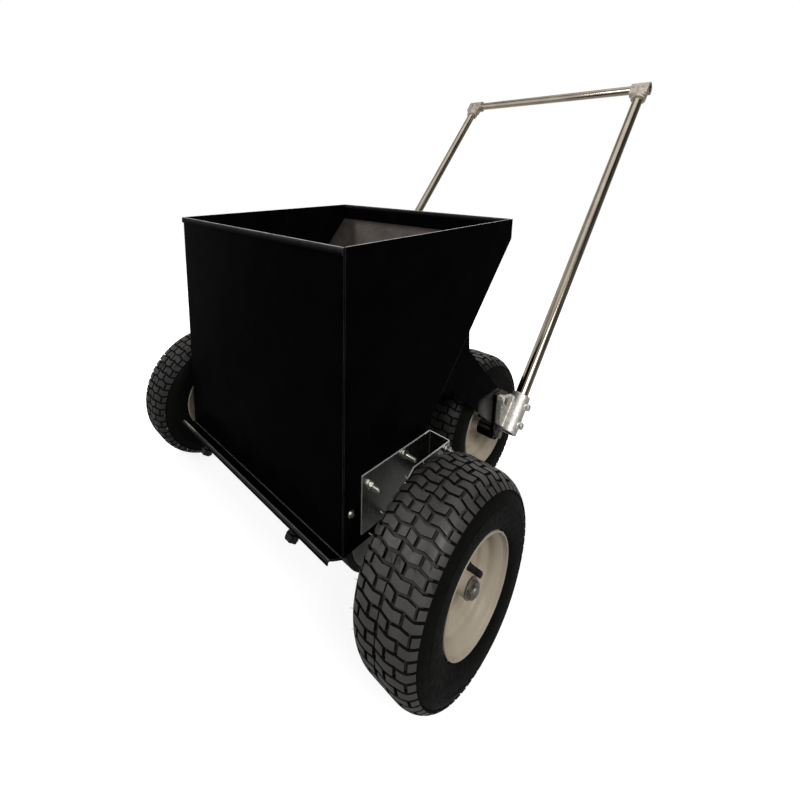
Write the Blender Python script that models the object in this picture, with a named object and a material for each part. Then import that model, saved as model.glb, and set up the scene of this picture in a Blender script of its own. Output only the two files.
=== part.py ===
# Walk-behind lawn topdresser: a hopper over a ground-driven metering drum, four wheels and a tube handle.
# Metres, +Z up, the machine's front toward -Y, the operator's left toward +X.
# While building, y = 0 is the front panel's outer face; add() moves everything to the middle of the length.

import math

import bmesh
import bpy
from mathutils import Vector
from mathutils.geometry import tessellate_polygon

for old in list(bpy.data.objects):
    bpy.data.objects.remove(old, do_unlink=True)

# fits and thicknesses
gap = 0.0003
sheet = 0.003
bracket_sheet = 0.0025

# hopper
hopper_width = 0.508
hopper_depth = 0.500
hopper_rise = 0.4926
panel_drop = 0.0004
side_drop = 0.0034
side_tail_y = 0.200
rear_band = 0.042
rear_slope = 48.2
hem_height = 0.012
lip_reach = 0.032
lip_slope = 29.7
lip_return = 0.010

# gate plate, its studs and knobs
gate_thickness = 0.003
gate_travel = 0.012
gate_cover = 0.0082
gate_drum_clearance = 0.001
gate_side_clearance = 0.004
stud_inset = 0.100
stud_back = 0.0083
stud_radius = 0.004
knob_hub_radius = 0.0075
knob_head_radius = 0.0115
knob_hub_length = 0.0125
knob_head_height = 0.013
knob_lobe = 0.09

# metering drum and drive axle
front_axle_y = 0.1033
roller_radius = 0.088
roller_bore = 0.070
disc_radius = 0.076
disc_thickness = 0.004
drum_end_clearance = 0.0005
drive_axle_radius = 0.0125
drive_stud_radius = 0.008
axle_notch_clearance = 0.002
wiper_thickness = 0.004
wiper_length = 0.040
wiper_drum_clearance = 0.0004

# drive brackets and their bolts
bracket_front_y = 0.041
bracket_rear_y = 0.224
bracket_rise = 0.1226
bracket_inner_rise = 0.0166
bracket_outer_drop = 0.0474
bracket_reach = 0.0447
bracket_bend = 0.003
bracket_low_cut = 0.020
bracket_top_run = 0.077
bracket_top_fall = 0.066
bearing_flange_radius = 0.034
bearing_flange = 0.003
bearing_boss_radius = 0.024
bearing_boss = 0.011
front_bolt_set = 0.020
front_bolt_drop = 0.026
mid_bolt_set = 0.0528
mid_bolt_drop = 0.010
corner_bolt_inset = 0.0105
bolt_radius = 0.004
bolt_head_radius = 0.009
bolt_head = 0.003
bolt_nut_radius = 0.0075
bolt_nut = 0.0065
front_bolt_reach = 0.020
mid_bolt_reach = 0.027

# wheels
front_wheel_gap = 0.0185
rear_wheel_gap = 0.0132
rear_axle_y = 0.4893
tyre_radius = 0.1654
tyre_width = 0.117
tyre_shoulder = 0.037
tyre_wall = 0.009
shoulder_turn = 25
tread_grooves = 60
groove_width = 0.0043
groove_depth = 0.0055
groove_first = 5.6
zigzag = 0.0019
zigzag_step = 0.0155
rim_radius = 0.0886
rim_width = 0.1064
bead_radius = 0.0762
rim_sheet = 0.003
well_radius = 0.064
well_width = 0.044
disc_offset = 0.0135
hub_radius = 0.0165
hub_outer = 0.038
hub_inner = 0.030
hub_cone_radius = 0.0250
hub_cone = 0.010
washer = 0.003
washer_radius = 0.0172
drive_nut = 0.0057
drive_nut_radius = 0.0139
drive_nut_end = 0.0025
valve_radius = 0.0054
valve_length = 0.0245
valve_behind = 0.0345
valve_below = 0.005

# rear arms, rear axle
arm_top_y = 0.348
arm_low_y = 0.2574
arm_shoulder = (0.352, 0.2396)
arm_upper = (0.470, 0.1276)
arm_knee = (0.290, 0.1776)
arm_tab_half = 0.0158
arm_end_rise = 0.0966
arm_end_y = 0.536
rear_axle_radius = 0.0095
rear_stud_radius = 0.006
rear_nut_radius = 0.0104
rear_nut = 0.0095
spacer_radius = 0.017
centre_spacer_radius = 0.014

# handle, clamps and elbows
handle_lean = 42.65
handle_height = 1.0029
post_set_back = 0.0023
post_clear = 0.0008
tube_radius = 0.01345
tube_wall = 0.002
socket_radius = 0.020
clamp_low = 0.0124
clamp_high = 0.1055
clamp_plate_rise = 0.1006
palm_front_y = 0.472
palm_rise = 0.1026
palm_foot_rise = 0.0326
palm_thickness = 0.0135
boss_radius = 0.0105
boss_height = 0.019
clamp_bolt_y = 0.4835
clamp_bolt_rise = 0.0881
cap_radius = 0.0065
cap_depth = 0.007
clamp_shank_radius = 0.004
screw_boss_radius = 0.0065
screw_boss_reach = 0.007
screw_low = 0.0375
screw_high = 0.0824
screw_hole_radius = 0.003
elbow_inward = 0.0274
elbow_outward = 0.0223
elbow_leg = 0.048
post_clearance = 0.0015

# derived places
half = hopper_width / 2
axle_z = tyre_radius
hopper_top = axle_z + hopper_rise
panel_foot = axle_z - panel_drop
side_foot = axle_z - side_drop
bracket_top = axle_z + bracket_rise
bracket_inner_foot = axle_z + bracket_inner_rise
bracket_outer_foot = axle_z - bracket_outer_drop
front_bolt_y = bracket_front_y + front_bolt_set
front_bolt_z = bracket_top - front_bolt_drop
mid_bolt_z = bracket_top - mid_bolt_drop
arm_end_top = axle_z + arm_end_rise
clamp_plate_top = axle_z + clamp_plate_rise
palm_top = axle_z + palm_rise
palm_foot = axle_z + palm_foot_rise
clamp_bolt_z = axle_z + clamp_bolt_rise
side_inner = half - sheet
stud_spread = half - stud_inset
bracket_spread = half + bracket_reach
front_track = bracket_spread + front_wheel_gap + tyre_width / 2
rear_track = side_inner - rear_wheel_gap - tyre_width / 2
plate_outer = half + gap + sheet
palm_inner = plate_outer + gap
post_spread = palm_inner + socket_radius + post_clear
elbow_inner_x = post_spread - elbow_inward
elbow_outer_x = post_spread + elbow_outward
slope_y = math.cos(math.radians(rear_slope))
slope_z = math.sin(math.radians(rear_slope))
slope_top = (hopper_depth, hopper_top - rear_band)
mid_bolt_y = hopper_depth - (slope_top[1] - mid_bolt_z) * slope_y / slope_z - mid_bolt_set
lip_y = math.cos(math.radians(lip_slope))
lip_z = math.sin(math.radians(lip_slope))
post_foot = Vector((0, rear_axle_y - post_set_back, axle_z))
post_up = Vector((0, math.sin(math.radians(handle_lean)), math.cos(math.radians(handle_lean))))
post_across = Vector((0, post_up.z, -post_up.y))
bar_distance = (handle_height - axle_z) / post_up.z
bar_centre = post_foot + post_up * bar_distance
front_end = front_axle_y - tyre_radius
rear_end = bar_centre.y + socket_radius
mid_y = (front_end + rear_end) / 2
wheel_turns = tread_grooves // 2


# One material for each finish.
finishes = {
    "black_coat": ((0.012, 0.012, 0.013), 0.0, 0.38),
    "zinc_sheet": ((0.62, 0.64, 0.62), 1.0, 0.28),
    "zinc_bolt": ((0.66, 0.65, 0.61), 1.0, 0.32),
    "grey_steel": ((0.50, 0.50, 0.50), 1.0, 0.42),
    "stainless": ((0.66, 0.63, 0.58), 1.0, 0.24),
    "cast_alloy": ((0.72, 0.72, 0.70), 1.0, 0.45),
    "cream_paint": ((0.52, 0.45, 0.33), 0.0, 0.45),
    "tyre_rubber": ((0.020, 0.020, 0.021), 0.0, 0.85),
    "soft_rubber": ((0.015, 0.015, 0.016), 0.0, 0.75),
    "black_plastic": ((0.014, 0.014, 0.015), 0.0, 0.6),
}


def make_material(slot):
    base, metallic, roughness = finishes[slot]
    material = bpy.data.materials.new(slot)
    material.use_nodes = True
    shader = material.node_tree.nodes["Principled BSDF"]
    shader.inputs["Base Color"].default_value = (*base, 1.0)
    shader.inputs["Metallic"].default_value = metallic
    shader.inputs["Roughness"].default_value = roughness
    return material


materials = {slot: make_material(slot) for slot in finishes}


def add(name, slot, shape, origin=(0, 0, 0)):
    verts, faces = shape
    start = Vector(origin)
    mesh = bpy.data.meshes.new(name)
    mesh.from_pydata([Vector(v) - start for v in verts], [], faces)
    work = bmesh.new()
    work.from_mesh(mesh)
    bmesh.ops.recalc_face_normals(work, faces=work.faces)
    work.to_mesh(mesh)
    work.free()
    mesh.shade_smooth()
    mesh.set_sharp_from_angle(angle=math.radians(35))
    mesh.materials.append(materials[slot])
    part = bpy.data.objects.new(name, mesh)
    part.location = start - Vector((0, mid_y, 0))
    bpy.context.scene.collection.objects.link(part)
    return part


# Joins or cuts one object with others, which are then removed.
def combine(part, others, operation):
    for other in others:
        step = part.modifiers.new(operation.lower(), "BOOLEAN")
        step.operation = operation
        step.object = other
        other.hide_render = True
        other.display_type = "WIRE"
    bpy.context.view_layer.update()
    result = bpy.data.meshes.new_from_object(part.evaluated_get(bpy.context.evaluated_depsgraph_get()))
    part.modifiers.clear()
    old = part.data
    part.data = result
    bpy.data.meshes.remove(old)
    result.name = part.name
    result.shade_smooth()
    result.set_sharp_from_angle(angle=math.radians(35))
    for other in others:
        bpy.data.objects.remove(other, do_unlink=True)


# Frames: each turns flat coordinates (a, b) and a distance c into a point in space.
def across(y=0.0, z=0.0):
    return lambda a, b, c: Vector((c, y + a, z + b))


def upward(a, b, c):
    return Vector((a, b, c))


def on_post(side):
    base = post_foot + Vector((side * post_spread, 0, 0))
    return lambda a, b, c: base + Vector((a, 0, 0)) + post_across * b + post_up * c


def on_lip(x=0.0, along=0.0):
    base = Vector((x, along * lip_y, panel_foot - along * lip_z))
    inward = Vector((0, lip_y, -lip_z))
    under = Vector((0, -lip_z, -lip_y))
    return lambda a, b, c: base + inward * a + Vector((b, 0, 0)) + under * c


# A plate: a flat outline with holes, thickened from lo to hi.
def prism(outline, place, lo, hi, holes=()):
    loops = [list(outline)] + [list(hole) for hole in holes]
    flat = [point for loop in loops for point in loop]
    total = len(flat)
    triangles = tessellate_polygon([[Vector((a, b, 0)) for a, b in loop] for loop in loops])
    verts = [place(a, b, lo) for a, b in flat] + [place(a, b, hi) for a, b in flat]
    faces = [tuple(tri) for tri in triangles]
    faces += [tuple(i + total for i in reversed(tri)) for tri in triangles]
    start = 0
    for loop in loops:
        count = len(loop)
        for i in range(count):
            one, two = start + i, start + (i + 1) % count
            faces.append((one, two, two + total, one + total))
        start += count
    return verts, faces


def hexagon(angle):
    return math.cos(math.pi / 6) / math.cos(angle % (math.pi / 3) - math.pi / 6)


def lobed(angle):
    return 1 + knob_lobe * math.cos(6 * angle)


# A turned piece: a closed profile of (radius, distance) or (radius, distance, shape) round the frame's axis.
# An open one leaves out the faces between the profile's two ends.
def turned(profile, place, turns, closed=True):
    verts = []
    rings = []
    for point in profile:
        radius, distance = point[0], point[1]
        if radius == 0:
            rings.append([len(verts)] * turns)
            verts.append(place(0, 0, distance))
            continue
        ring = []
        for i in range(turns):
            angle = 2 * math.pi * i / turns
            reach = radius * (point[2](angle) if len(point) > 2 else 1)
            ring.append(len(verts))
            verts.append(place(reach * math.cos(angle), reach * math.sin(angle), distance))
        rings.append(ring)
    faces = []
    for j in range(len(rings) if closed else len(rings) - 1):
        one, two = rings[j], rings[(j + 1) % len(rings)]
        if one[0] == one[1] and two[0] == two[1]:
            continue
        for i in range(turns):
            k = (i + 1) % turns
            corners = (one[i], one[k], two[k], two[i])
            faces.append(tuple(dict.fromkeys(corners)))
    return verts, faces


def circle(y, z, radius, count, first=0.0, sweep=360.0):
    steps = count if sweep == 360.0 else count - 1
    angles = [math.radians(first + sweep * i / steps) for i in range(count)]
    return [(y + radius * math.cos(t), z + radius * math.sin(t)) for t in angles]


# Rounds the corners of a path whose points are (a, b) or (a, b, radius).
def rounded(points, closed=False):
    result = []
    count = len(points)
    for i, point in enumerate(points):
        here = Vector(point[:2])
        if len(point) < 3 or (not closed and i in (0, count - 1)):
            result.append(here)
            continue
        before = (Vector(points[i - 1][:2]) - here).normalized()
        after = (Vector(points[(i + 1) % count][:2]) - here).normalized()
        bend = math.pi - before.angle(after)
        reach = point[2] * math.tan(bend / 2)
        centre = here + (before + after).normalized() * (point[2] / math.cos(bend / 2))
        first = here + before * reach - centre
        turn = math.copysign(bend, before.cross(after) * -1)
        steps = max(2, round(abs(bend) / math.radians(30)))
        for k in range(steps + 1):
            angle = turn * k / steps
            cos, sin = math.cos(angle), math.sin(angle)
            result.append(centre + Vector((first.x * cos - first.y * sin, first.x * sin + first.y * cos)))
    return [here for i, here in enumerate(result) if i == 0 or (here - result[i - 1]).length > 1e-6]


# The outline of a bent sheet whose middle line is the given path.
def bent_sheet(path, thickness):
    line = rounded(path)
    left, right = [], []
    for i, here in enumerate(line):
        before = (here - line[i - 1]).normalized() if i > 0 else None
        after = (line[i + 1] - here).normalized() if i < len(line) - 1 else None
        before, after = before or after, after or before
        mean = (before + after).normalized()
        normal = Vector((-mean.y, mean.x)) * (thickness / 2 / mean.dot(before))
        left.append(here + normal)
        right.append(here - normal)
    return [tuple(p) for p in left + right[::-1]]


def slope_point(distance, depth=0.0):
    return (slope_top[0] - distance * slope_y - depth * slope_z, slope_top[1] - distance * slope_z + depth * slope_y)


def slope_reach_at(radius, depth=0.0):
    y, z = slope_point(0, depth)
    to_axle = Vector((front_axle_y - y, axle_z - z))
    along = to_axle.dot(Vector((-slope_y, -slope_z)))
    return along - math.sqrt(radius ** 2 - (to_axle.length_squared - along ** 2))


# Hopper
fold = (sheet + gap) / 2
middle = sheet / 2
lip_corner_z = panel_foot - middle / lip_y - middle * lip_z / lip_y
lip_end_y = -lip_reach + middle
lip_end_z = lip_corner_z + (middle - lip_end_y) * lip_z / lip_y
fold_z = hopper_top - middle
front_path = [
    (middle - 2 * fold, hopper_top - hem_height),
    (middle - 2 * fold, fold_z, fold),
    (middle, fold_z, fold),
    (middle, lip_corner_z, sheet),
    (lip_end_y, lip_end_z, sheet),
    (lip_end_y, lip_end_z + middle - lip_return),
]
add("hopper_front", "black_coat", prism(bent_sheet(front_path, sheet), across(), -half, half))

rear_middle = hopper_depth - middle
bend_z = slope_top[1] + middle * math.tan(math.radians((90 - rear_slope) / 2))
sheet_end = slope_point(slope_reach_at(roller_radius + 2 * gap + sheet / 2, middle), middle)
rear_path = [
    (rear_middle + 2 * fold, hopper_top - hem_height),
    (rear_middle + 2 * fold, fold_z, fold),
    (rear_middle, fold_z, fold),
    (rear_middle, bend_z, 2 * sheet),
    sheet_end,
]
rear_half = side_inner - gap
add("hopper_rear", "black_coat", prism(bent_sheet(rear_path, sheet), across(), -rear_half, rear_half))

notch = drive_axle_radius + axle_notch_clearance
notch_angle = math.degrees(math.asin((axle_z - side_foot) / notch))
notch_arc = circle(front_axle_y, axle_z, notch, 11, 180 + notch_angle, -180 - 2 * notch_angle)
tail_distance = (hopper_depth - side_tail_y) / slope_y
side_outline = [
    (sheet + gap, side_foot),
    *notch_arc,
    (side_tail_y, side_foot),
    slope_point(tail_distance),
    slope_top,
    (hopper_depth, hopper_top),
    (sheet + gap, hopper_top),
]
shank = bolt_radius + gap
bolt_holes = [circle(front_bolt_y, front_bolt_z, shank, 12), circle(mid_bolt_y, mid_bolt_z, shank, 12)]

# Rear arm outline: along the hopper's slope, down to the rear axle and back.
top_edge = slope_point((hopper_depth - arm_top_y) / slope_y + gap / slope_z, -gap)
low_edge = slope_point((hopper_depth - arm_low_y) / slope_y, -gap)
tab_angle = 20.0
tab_arc = circle(rear_axle_y, axle_z, arm_tab_half, 9, 180, 180 + tab_angle)
knee_to_tab = (rear_axle_y - arm_tab_half, palm_foot - 2 * sheet)
arm_outline = rounded([
    top_edge, low_edge, (arm_knee[0], axle_z + arm_knee[1], 0.012), (*knee_to_tab, 0.006), *tab_arc,
    (arm_end_y, arm_end_top - 0.012, 0.006), (arm_end_y - 0.030, arm_end_top, 0.006),
    (arm_upper[0], axle_z + arm_upper[1], 0.010), (arm_shoulder[0], axle_z + arm_shoulder[1], 0.008),
], closed=True)
plate_outline = rounded([
    *tab_arc,
    (arm_end_y, arm_end_top - 0.012, 0.006), (arm_end_y - 0.030, clamp_plate_top, 0.006),
    (rear_axle_y - arm_tab_half, clamp_plate_top, 0.002),
], closed=True)
rear_stud_hole = circle(rear_axle_y, axle_z, rear_stud_radius + gap, 16)
clamp_shank_hole = circle(clamp_bolt_y, clamp_bolt_z, clamp_shank_radius + gap, 12)
arm_holes = [rear_stud_hole, clamp_shank_hole]

sides = {"left": 1, "right": -1}
for label, side in sides.items():
    walls = (side * side_inner, side * half)
    add(f"hopper_side_{label}", "black_coat", prism(side_outline, across(), *walls, bolt_holes))
    add(f"rear_arm_{label}", "black_coat", prism([tuple(p) for p in arm_outline], across(), *walls, arm_holes))
    add(f"clamp_plate_{label}", "black_coat", prism(
        [tuple(p) for p in plate_outline], across(), side * (half + gap), side * plate_outer, arm_holes))

# Wiper under the foot of the rear sheet, its edge on the drum
wiper_low = slope_reach_at(roller_radius + wiper_drum_clearance, -gap)
wiper_outline = [
    slope_point(wiper_low, -gap),
    slope_point(wiper_low, -gap - wiper_thickness),
    slope_point(wiper_low - wiper_length, -gap - wiper_thickness),
    slope_point(wiper_low - wiper_length, -gap),
]
add("drum_wiper", "soft_rubber", prism(wiper_outline, across(), -rear_half, rear_half))

# Gate plate under the lip, held by two studs and knobs
centre_in = front_axle_y * lip_y + (panel_foot - axle_z) * lip_z
centre_up = front_axle_y * lip_z - (panel_foot - axle_z) * lip_y
gate_top = sheet + gap
gate_foot = gate_top + gate_thickness
gate_inner = centre_in - math.sqrt((roller_radius + gate_drum_clearance) ** 2 - (centre_up + gate_top) ** 2)
gate_outer = -stud_back - gate_cover
gate_half = half - gate_side_clearance
gate_outline = [
    (gate_outer, -gate_half), (gate_inner, -gate_half), (gate_inner, gate_half), (gate_outer, gate_half),
]
slot_radius = stud_radius + gap


def gate_slot(x):
    outer = circle(-stud_back, x, slot_radius, 7, 90, 180)
    inner = circle(-stud_back + gate_travel, x, slot_radius, 7, 270, 180)
    return outer + inner


gate_slots = [gate_slot(side * stud_spread) for side in sides.values()]
add("gate_plate", "zinc_sheet", prism(gate_outline, on_lip(), gate_top, gate_foot, gate_slots))
knob_top = gate_foot + gap
knob_neck = knob_top + knob_hub_length
knob_end = knob_neck + knob_head_height
stud_end = knob_end - 0.004
for label, side in sides.items():
    place = on_lip(side * stud_spread, -stud_back)
    stud = [(0, sheet + gap), (stud_radius, sheet + gap), (stud_radius, stud_end - gap), (0, stud_end - gap)]
    add(f"gate_stud_{label}", "zinc_bolt", turned(stud, place, 12))
    bore = stud_radius + gap
    knob = [
        (bore, knob_top), (knob_hub_radius, knob_top), (knob_hub_radius, knob_neck),
        (knob_head_radius * 0.86, knob_neck, lobed), (knob_head_radius, knob_neck + 0.002, lobed),
        (knob_head_radius, knob_end - 0.003, lobed), (knob_head_radius * 0.8, knob_end, lobed), (0, knob_end),
        (0, stud_end), (bore, stud_end),
    ]
    add(f"gate_knob_{label}", "black_plastic", turned(knob, place, 24), place(0, 0, knob_neck))

# Metering drum on the drive axle
drum_place = across(front_axle_y, axle_z)
drum_origin = drum_place(0, 0, 0)
disc_outer = side_inner - drum_end_clearance
disc_inner = disc_outer - disc_thickness
roller_half = disc_inner - gap
roller = [
    (roller_bore, -roller_half), (roller_radius, -roller_half), (roller_radius, roller_half),
    (roller_bore, roller_half),
]
add("drum_roller", "soft_rubber", turned(roller, drum_place, 40), drum_origin)
axle_bore = drive_axle_radius + gap
wheel_face = front_track + hub_outer
washer_face = wheel_face + gap
nut_end = washer_face + washer + drive_nut
stud_tip = nut_end + drive_nut_end
axle_end = front_track + hub_outer - 0.002
drive_axle = [
    (0, -stud_tip), (drive_stud_radius, -stud_tip), (drive_stud_radius, -axle_end),
    (drive_axle_radius, -axle_end), (drive_axle_radius, axle_end), (drive_stud_radius, axle_end),
    (drive_stud_radius, stud_tip), (0, stud_tip),
]
add("drive_axle", "grey_steel", turned(drive_axle, drum_place, 20), drum_origin)

# Bent drive bracket, seen from above: inner plate, cross plate, outer plate
bracket_middle = bracket_sheet / 2
inner_x = half + gap + bracket_middle
outer_x = bracket_spread - bracket_middle
cross_y = bracket_rear_y - bracket_middle
bracket_path = [
    (inner_x, bracket_front_y), (inner_x, cross_y, bracket_bend), (outer_x, cross_y, bracket_bend),
    (outer_x, bracket_front_y),
]
corner_bolt_y = bracket_rear_y - bracket_sheet - corner_bolt_inset
corner_bolt_z = bracket_top - corner_bolt_inset

for label, side in sides.items():
    disc = [
        (axle_bore, side * disc_inner), (disc_radius, side * disc_inner), (disc_radius, side * disc_outer),
        (axle_bore, side * disc_outer),
    ]
    add(f"drum_disc_{label}", "grey_steel", turned(disc, drum_place, 40), drum_origin)

    outline = [(side * a, b) for a, b in bent_sheet(bracket_path, bracket_sheet)]
    bracket = add(f"drive_bracket_{label}", "zinc_sheet", prism(
        outline, upward, bracket_outer_foot, bracket_top))
    low_box = [
        (bracket_front_y - sheet, bracket_outer_foot - sheet), (bracket_rear_y + sheet, bracket_outer_foot - sheet),
        (bracket_rear_y + sheet, bracket_inner_foot), (bracket_front_y - sheet, bracket_inner_foot),
    ]
    low_cut = (side * (half - sheet), side * (bracket_spread - 2 * bracket_sheet))
    corner_cut = [
        (bracket_front_y + bracket_low_cut, bracket_outer_foot - sheet),
        (bracket_front_y - sheet, bracket_outer_foot + bracket_low_cut),
        (bracket_front_y - sheet, bracket_outer_foot - sheet),
    ]
    top_cut = [
        (bracket_front_y + bracket_top_run * 1.2, bracket_top + bracket_top_fall * 0.2),
        (bracket_front_y - bracket_top_run * 0.2, bracket_top + bracket_top_fall * 0.2),
        (bracket_front_y - bracket_top_run * 0.2, bracket_top - bracket_top_fall * 1.2),
    ]
    hole_reach = (side * (half - sheet), side * (bracket_spread + sheet))
    plate_reach = (side * (bracket_spread - 2 * bracket_sheet), side * (bracket_spread + sheet))
    cutters = [
        add("cut_low", "zinc_sheet", prism(low_box, across(), *low_cut)),
        add("cut_corner", "zinc_sheet", prism(corner_cut, across(), *plate_reach)),
        add("cut_top", "zinc_sheet", prism(top_cut, across(), *plate_reach)),
        add("cut_axle", "zinc_sheet", prism(circle(front_axle_y, axle_z, axle_bore, 20), across(), *plate_reach)),
        add("cut_front_bolt", "zinc_sheet", prism(bolt_holes[0], across(), side * (half - sheet), side * outer_x * 0.95)),
        add("cut_mid_bolt", "zinc_sheet", prism(bolt_holes[1], across(), side * (half - sheet), side * outer_x * 0.95)),
        add("cut_corner_bolt", "zinc_sheet", prism(
            circle(corner_bolt_y, corner_bolt_z, shank, 12), across(), *plate_reach)),
    ]
    combine(bracket, cutters, "DIFFERENCE")

    bearing_face = bracket_spread + gap
    flange_face = bearing_face + bearing_flange
    boss_face = flange_face + bearing_boss
    bearing = [
        (axle_bore, side * bearing_face), (bearing_flange_radius, side * bearing_face),
        (bearing_flange_radius, side * flange_face), (bearing_boss_radius, side * flange_face),
        (bearing_boss_radius, side * boss_face), (axle_bore, side * boss_face),
    ]
    add(f"front_bearing_{label}", "grey_steel", turned(bearing, drum_place, 24))

    def through_bolt(head_face, nut_face, tip):
        return [
            (0, side * (head_face - bolt_head)), (bolt_head_radius * 0.7, side * (head_face - bolt_head)),
            (bolt_head_radius, side * head_face), (bolt_radius, side * head_face),
            (bolt_radius, side * nut_face), (bolt_nut_radius, side * nut_face, hexagon),
            (bolt_nut_radius, side * (nut_face + bolt_nut), hexagon), (bolt_radius, side * (nut_face + bolt_nut)),
            (bolt_radius, side * tip), (0, side * tip),
        ]

    wall_face = side_inner - gap
    nut_face = half + 2 * gap + bracket_sheet
    add(f"bracket_bolt_front_{label}", "zinc_bolt", turned(
        through_bolt(wall_face, nut_face, nut_face + front_bolt_reach), across(front_bolt_y, front_bolt_z), 12))
    add(f"bracket_bolt_middle_{label}", "zinc_bolt", turned(
        through_bolt(wall_face, nut_face, nut_face + mid_bolt_reach), across(mid_bolt_y, mid_bolt_z), 12))
    corner_head = bracket_spread - bracket_sheet - gap
    add(f"bracket_bolt_corner_{label}", "zinc_bolt", turned(
        through_bolt(corner_head, bearing_face, bearing_face + bolt_nut + 2 * sheet),
        across(corner_bolt_y, corner_bolt_z), 12))


# Wheel profiles, distances from the wheel's middle, outward positive
def rim_profile(bore):
    edge = rim_width / 2
    seat_top = bead_radius
    seat_in = seat_top - rim_sheet
    well_half = well_width / 2
    well_in = well_radius - rim_sheet
    return [
        (rim_radius, edge), (rim_radius, edge - rim_sheet), (seat_top, edge - rim_sheet),
        (seat_top, well_half + 0.008), (well_radius, well_half), (well_radius, -well_half),
        (seat_top, -well_half - 0.008), (seat_top, rim_sheet - edge), (rim_radius, rim_sheet - edge),
        (rim_radius, -edge), (seat_in, -edge), (seat_in, -well_half - 0.010), (well_in, -well_half - 0.001),
        (well_in, disc_offset - rim_sheet), (hub_radius, disc_offset - rim_sheet), (hub_radius, -hub_inner),
        (bore, -hub_inner), (bore, hub_outer), (hub_radius, hub_outer), (hub_radius, disc_offset + hub_cone),
        (hub_cone_radius, disc_offset), (well_in, disc_offset), (well_in, well_half + 0.001),
        (seat_in, well_half + 0.010), (seat_in, edge),
    ]


# A point of the tread: how far across from the middle, how far down, and the angle round the wheel.
def on_tread(across_by, down, angle):
    flat_half = tyre_width / 2 - tyre_shoulder
    lean = max(0.0, abs(across_by) - flat_half) / tyre_shoulder
    reach = tyre_shoulder - down
    radius = tyre_radius - tyre_shoulder + reach * math.cos(lean)
    distance = math.copysign(min(abs(across_by), flat_half) + reach * math.sin(lean), across_by)
    return radius * math.cos(angle), radius * math.sin(angle), distance


# The tyre's section from one edge of the tread round the bead and the inside to the other.
def tyre_profile():
    wide = tyre_width / 2
    seat = bead_radius + gap
    bead_out = rim_width / 2 - rim_sheet - gap
    curve_r = tyre_radius - tyre_shoulder
    curve_s = wide - tyre_shoulder
    turn = math.radians(shoulder_turn)
    half = [
        (curve_r + tyre_shoulder * math.sin(turn), curve_s + tyre_shoulder * math.cos(turn)), (curve_r, wide),
        (rim_radius + 0.016, wide - 0.001), (rim_radius + 0.001, bead_out), (seat, bead_out),
        (seat, bead_out - 0.014), (curve_r, wide - tyre_wall), (tyre_radius - tyre_wall, curve_s * 0.9),
    ]
    return half + [(r, -s) for r, s in half[::-1]]


# Triangles between two rings of vertices, each a list of (angle, vertex) in order of angle.
def bridged(one, two):
    def step(ring, i):
        angle, vertex = ring[i % len(ring)]
        return angle + 2 * math.pi * (i // len(ring)), vertex

    faces = []
    i = j = 0
    while i < len(one) or j < len(two):
        if j == len(two) or (i < len(one) and step(one, i + 1)[0] < step(two, j + 1)[0]):
            faces.append((step(one, i)[1], step(one, i + 1)[1], step(two, j)[1]))
            i += 1
        else:
            faces.append((step(one, i)[1], step(two, j + 1)[1], step(two, j)[1]))
            j += 1
    return faces


# A tyre whose crown has zigzag grooves that run out at the shoulders.
def tyre(place):
    profile = tyre_profile()
    verts, faces = turned(profile, place, wheel_turns, closed=False)
    pitch = 2 * math.pi / tread_grooves
    half_groove = groove_width / 2 / tyre_radius
    kinks = (-3, -1, 0, 1, 3)
    columns = []
    for kink in kinks:
        shift = zigzag / tyre_radius * (1 if kink % 2 else -1)
        first = math.radians(groove_first) + shift
        corners = [(first, 0.0)]
        if abs(kink) < 3:
            corners = [(first - half_groove, 0.0), (first, groove_depth), (first + half_groove, 0.0)]
        column = []
        for i in range(tread_grooves):
            column.append([len(verts) + n for n in range(len(corners))])
            verts += [place(*on_tread(kink * zigzag_step, down, angle + pitch * i)) for angle, down in corners]
        columns.append(column)
    for one, two in zip(columns, columns[1:]):
        for i in range(tread_grooves):
            k = (i + 1) % tread_grooves
            faces.append(tuple(dict.fromkeys((one[i][-1], one[k][0], two[k][0], two[i][-1]))))
            middle = (one[i][len(one[i]) // 2], two[i][len(two[i]) // 2])
            faces.append(tuple(dict.fromkeys((one[i][0], middle[0], middle[1], two[i][0]))))
            faces.append(tuple(dict.fromkeys((middle[0], one[i][-1], two[i][-1], middle[1]))))
    first = math.radians(groove_first) + zigzag / tyre_radius
    for column, row in ((columns[-1], 0), (columns[0], len(profile) - 1)):
        tips = [(first + pitch * i, column[i][0]) for i in range(tread_grooves)]
        ring = [(2 * math.pi * i / wheel_turns, row * wheel_turns + i) for i in range(wheel_turns)]
        faces += bridged(ring, tips)
    return verts, faces


def wheel(name, label, side, track, axle_y, bore):
    place = across(axle_y, axle_z)
    centre = place(0, 0, side * track)

    def out(profile):
        return [(p[0], side * (track + p[1]), *p[2:]) for p in profile]

    add(f"{name}_rim_{label}", "cream_paint", turned(out(rim_profile(bore)), place, wheel_turns), centre)
    add(f"{name}_tyre_{label}", "tyre_rubber", tyre(lambda a, b, c: place(a, b, side * (track + c))), centre)
    foot = disc_offset + gap
    valve = [
        (0, foot), (valve_radius, foot), (valve_radius, foot + valve_length * 0.6),
        (valve_radius * 0.7, foot + valve_length * 0.65), (valve_radius * 0.7, foot + valve_length),
        (0, foot + valve_length),
    ]
    valve_place = across(axle_y + valve_behind, axle_z - valve_below)
    add(f"{name}_valve_{label}", "soft_rubber", turned(out(valve), valve_place, 10), centre)


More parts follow.
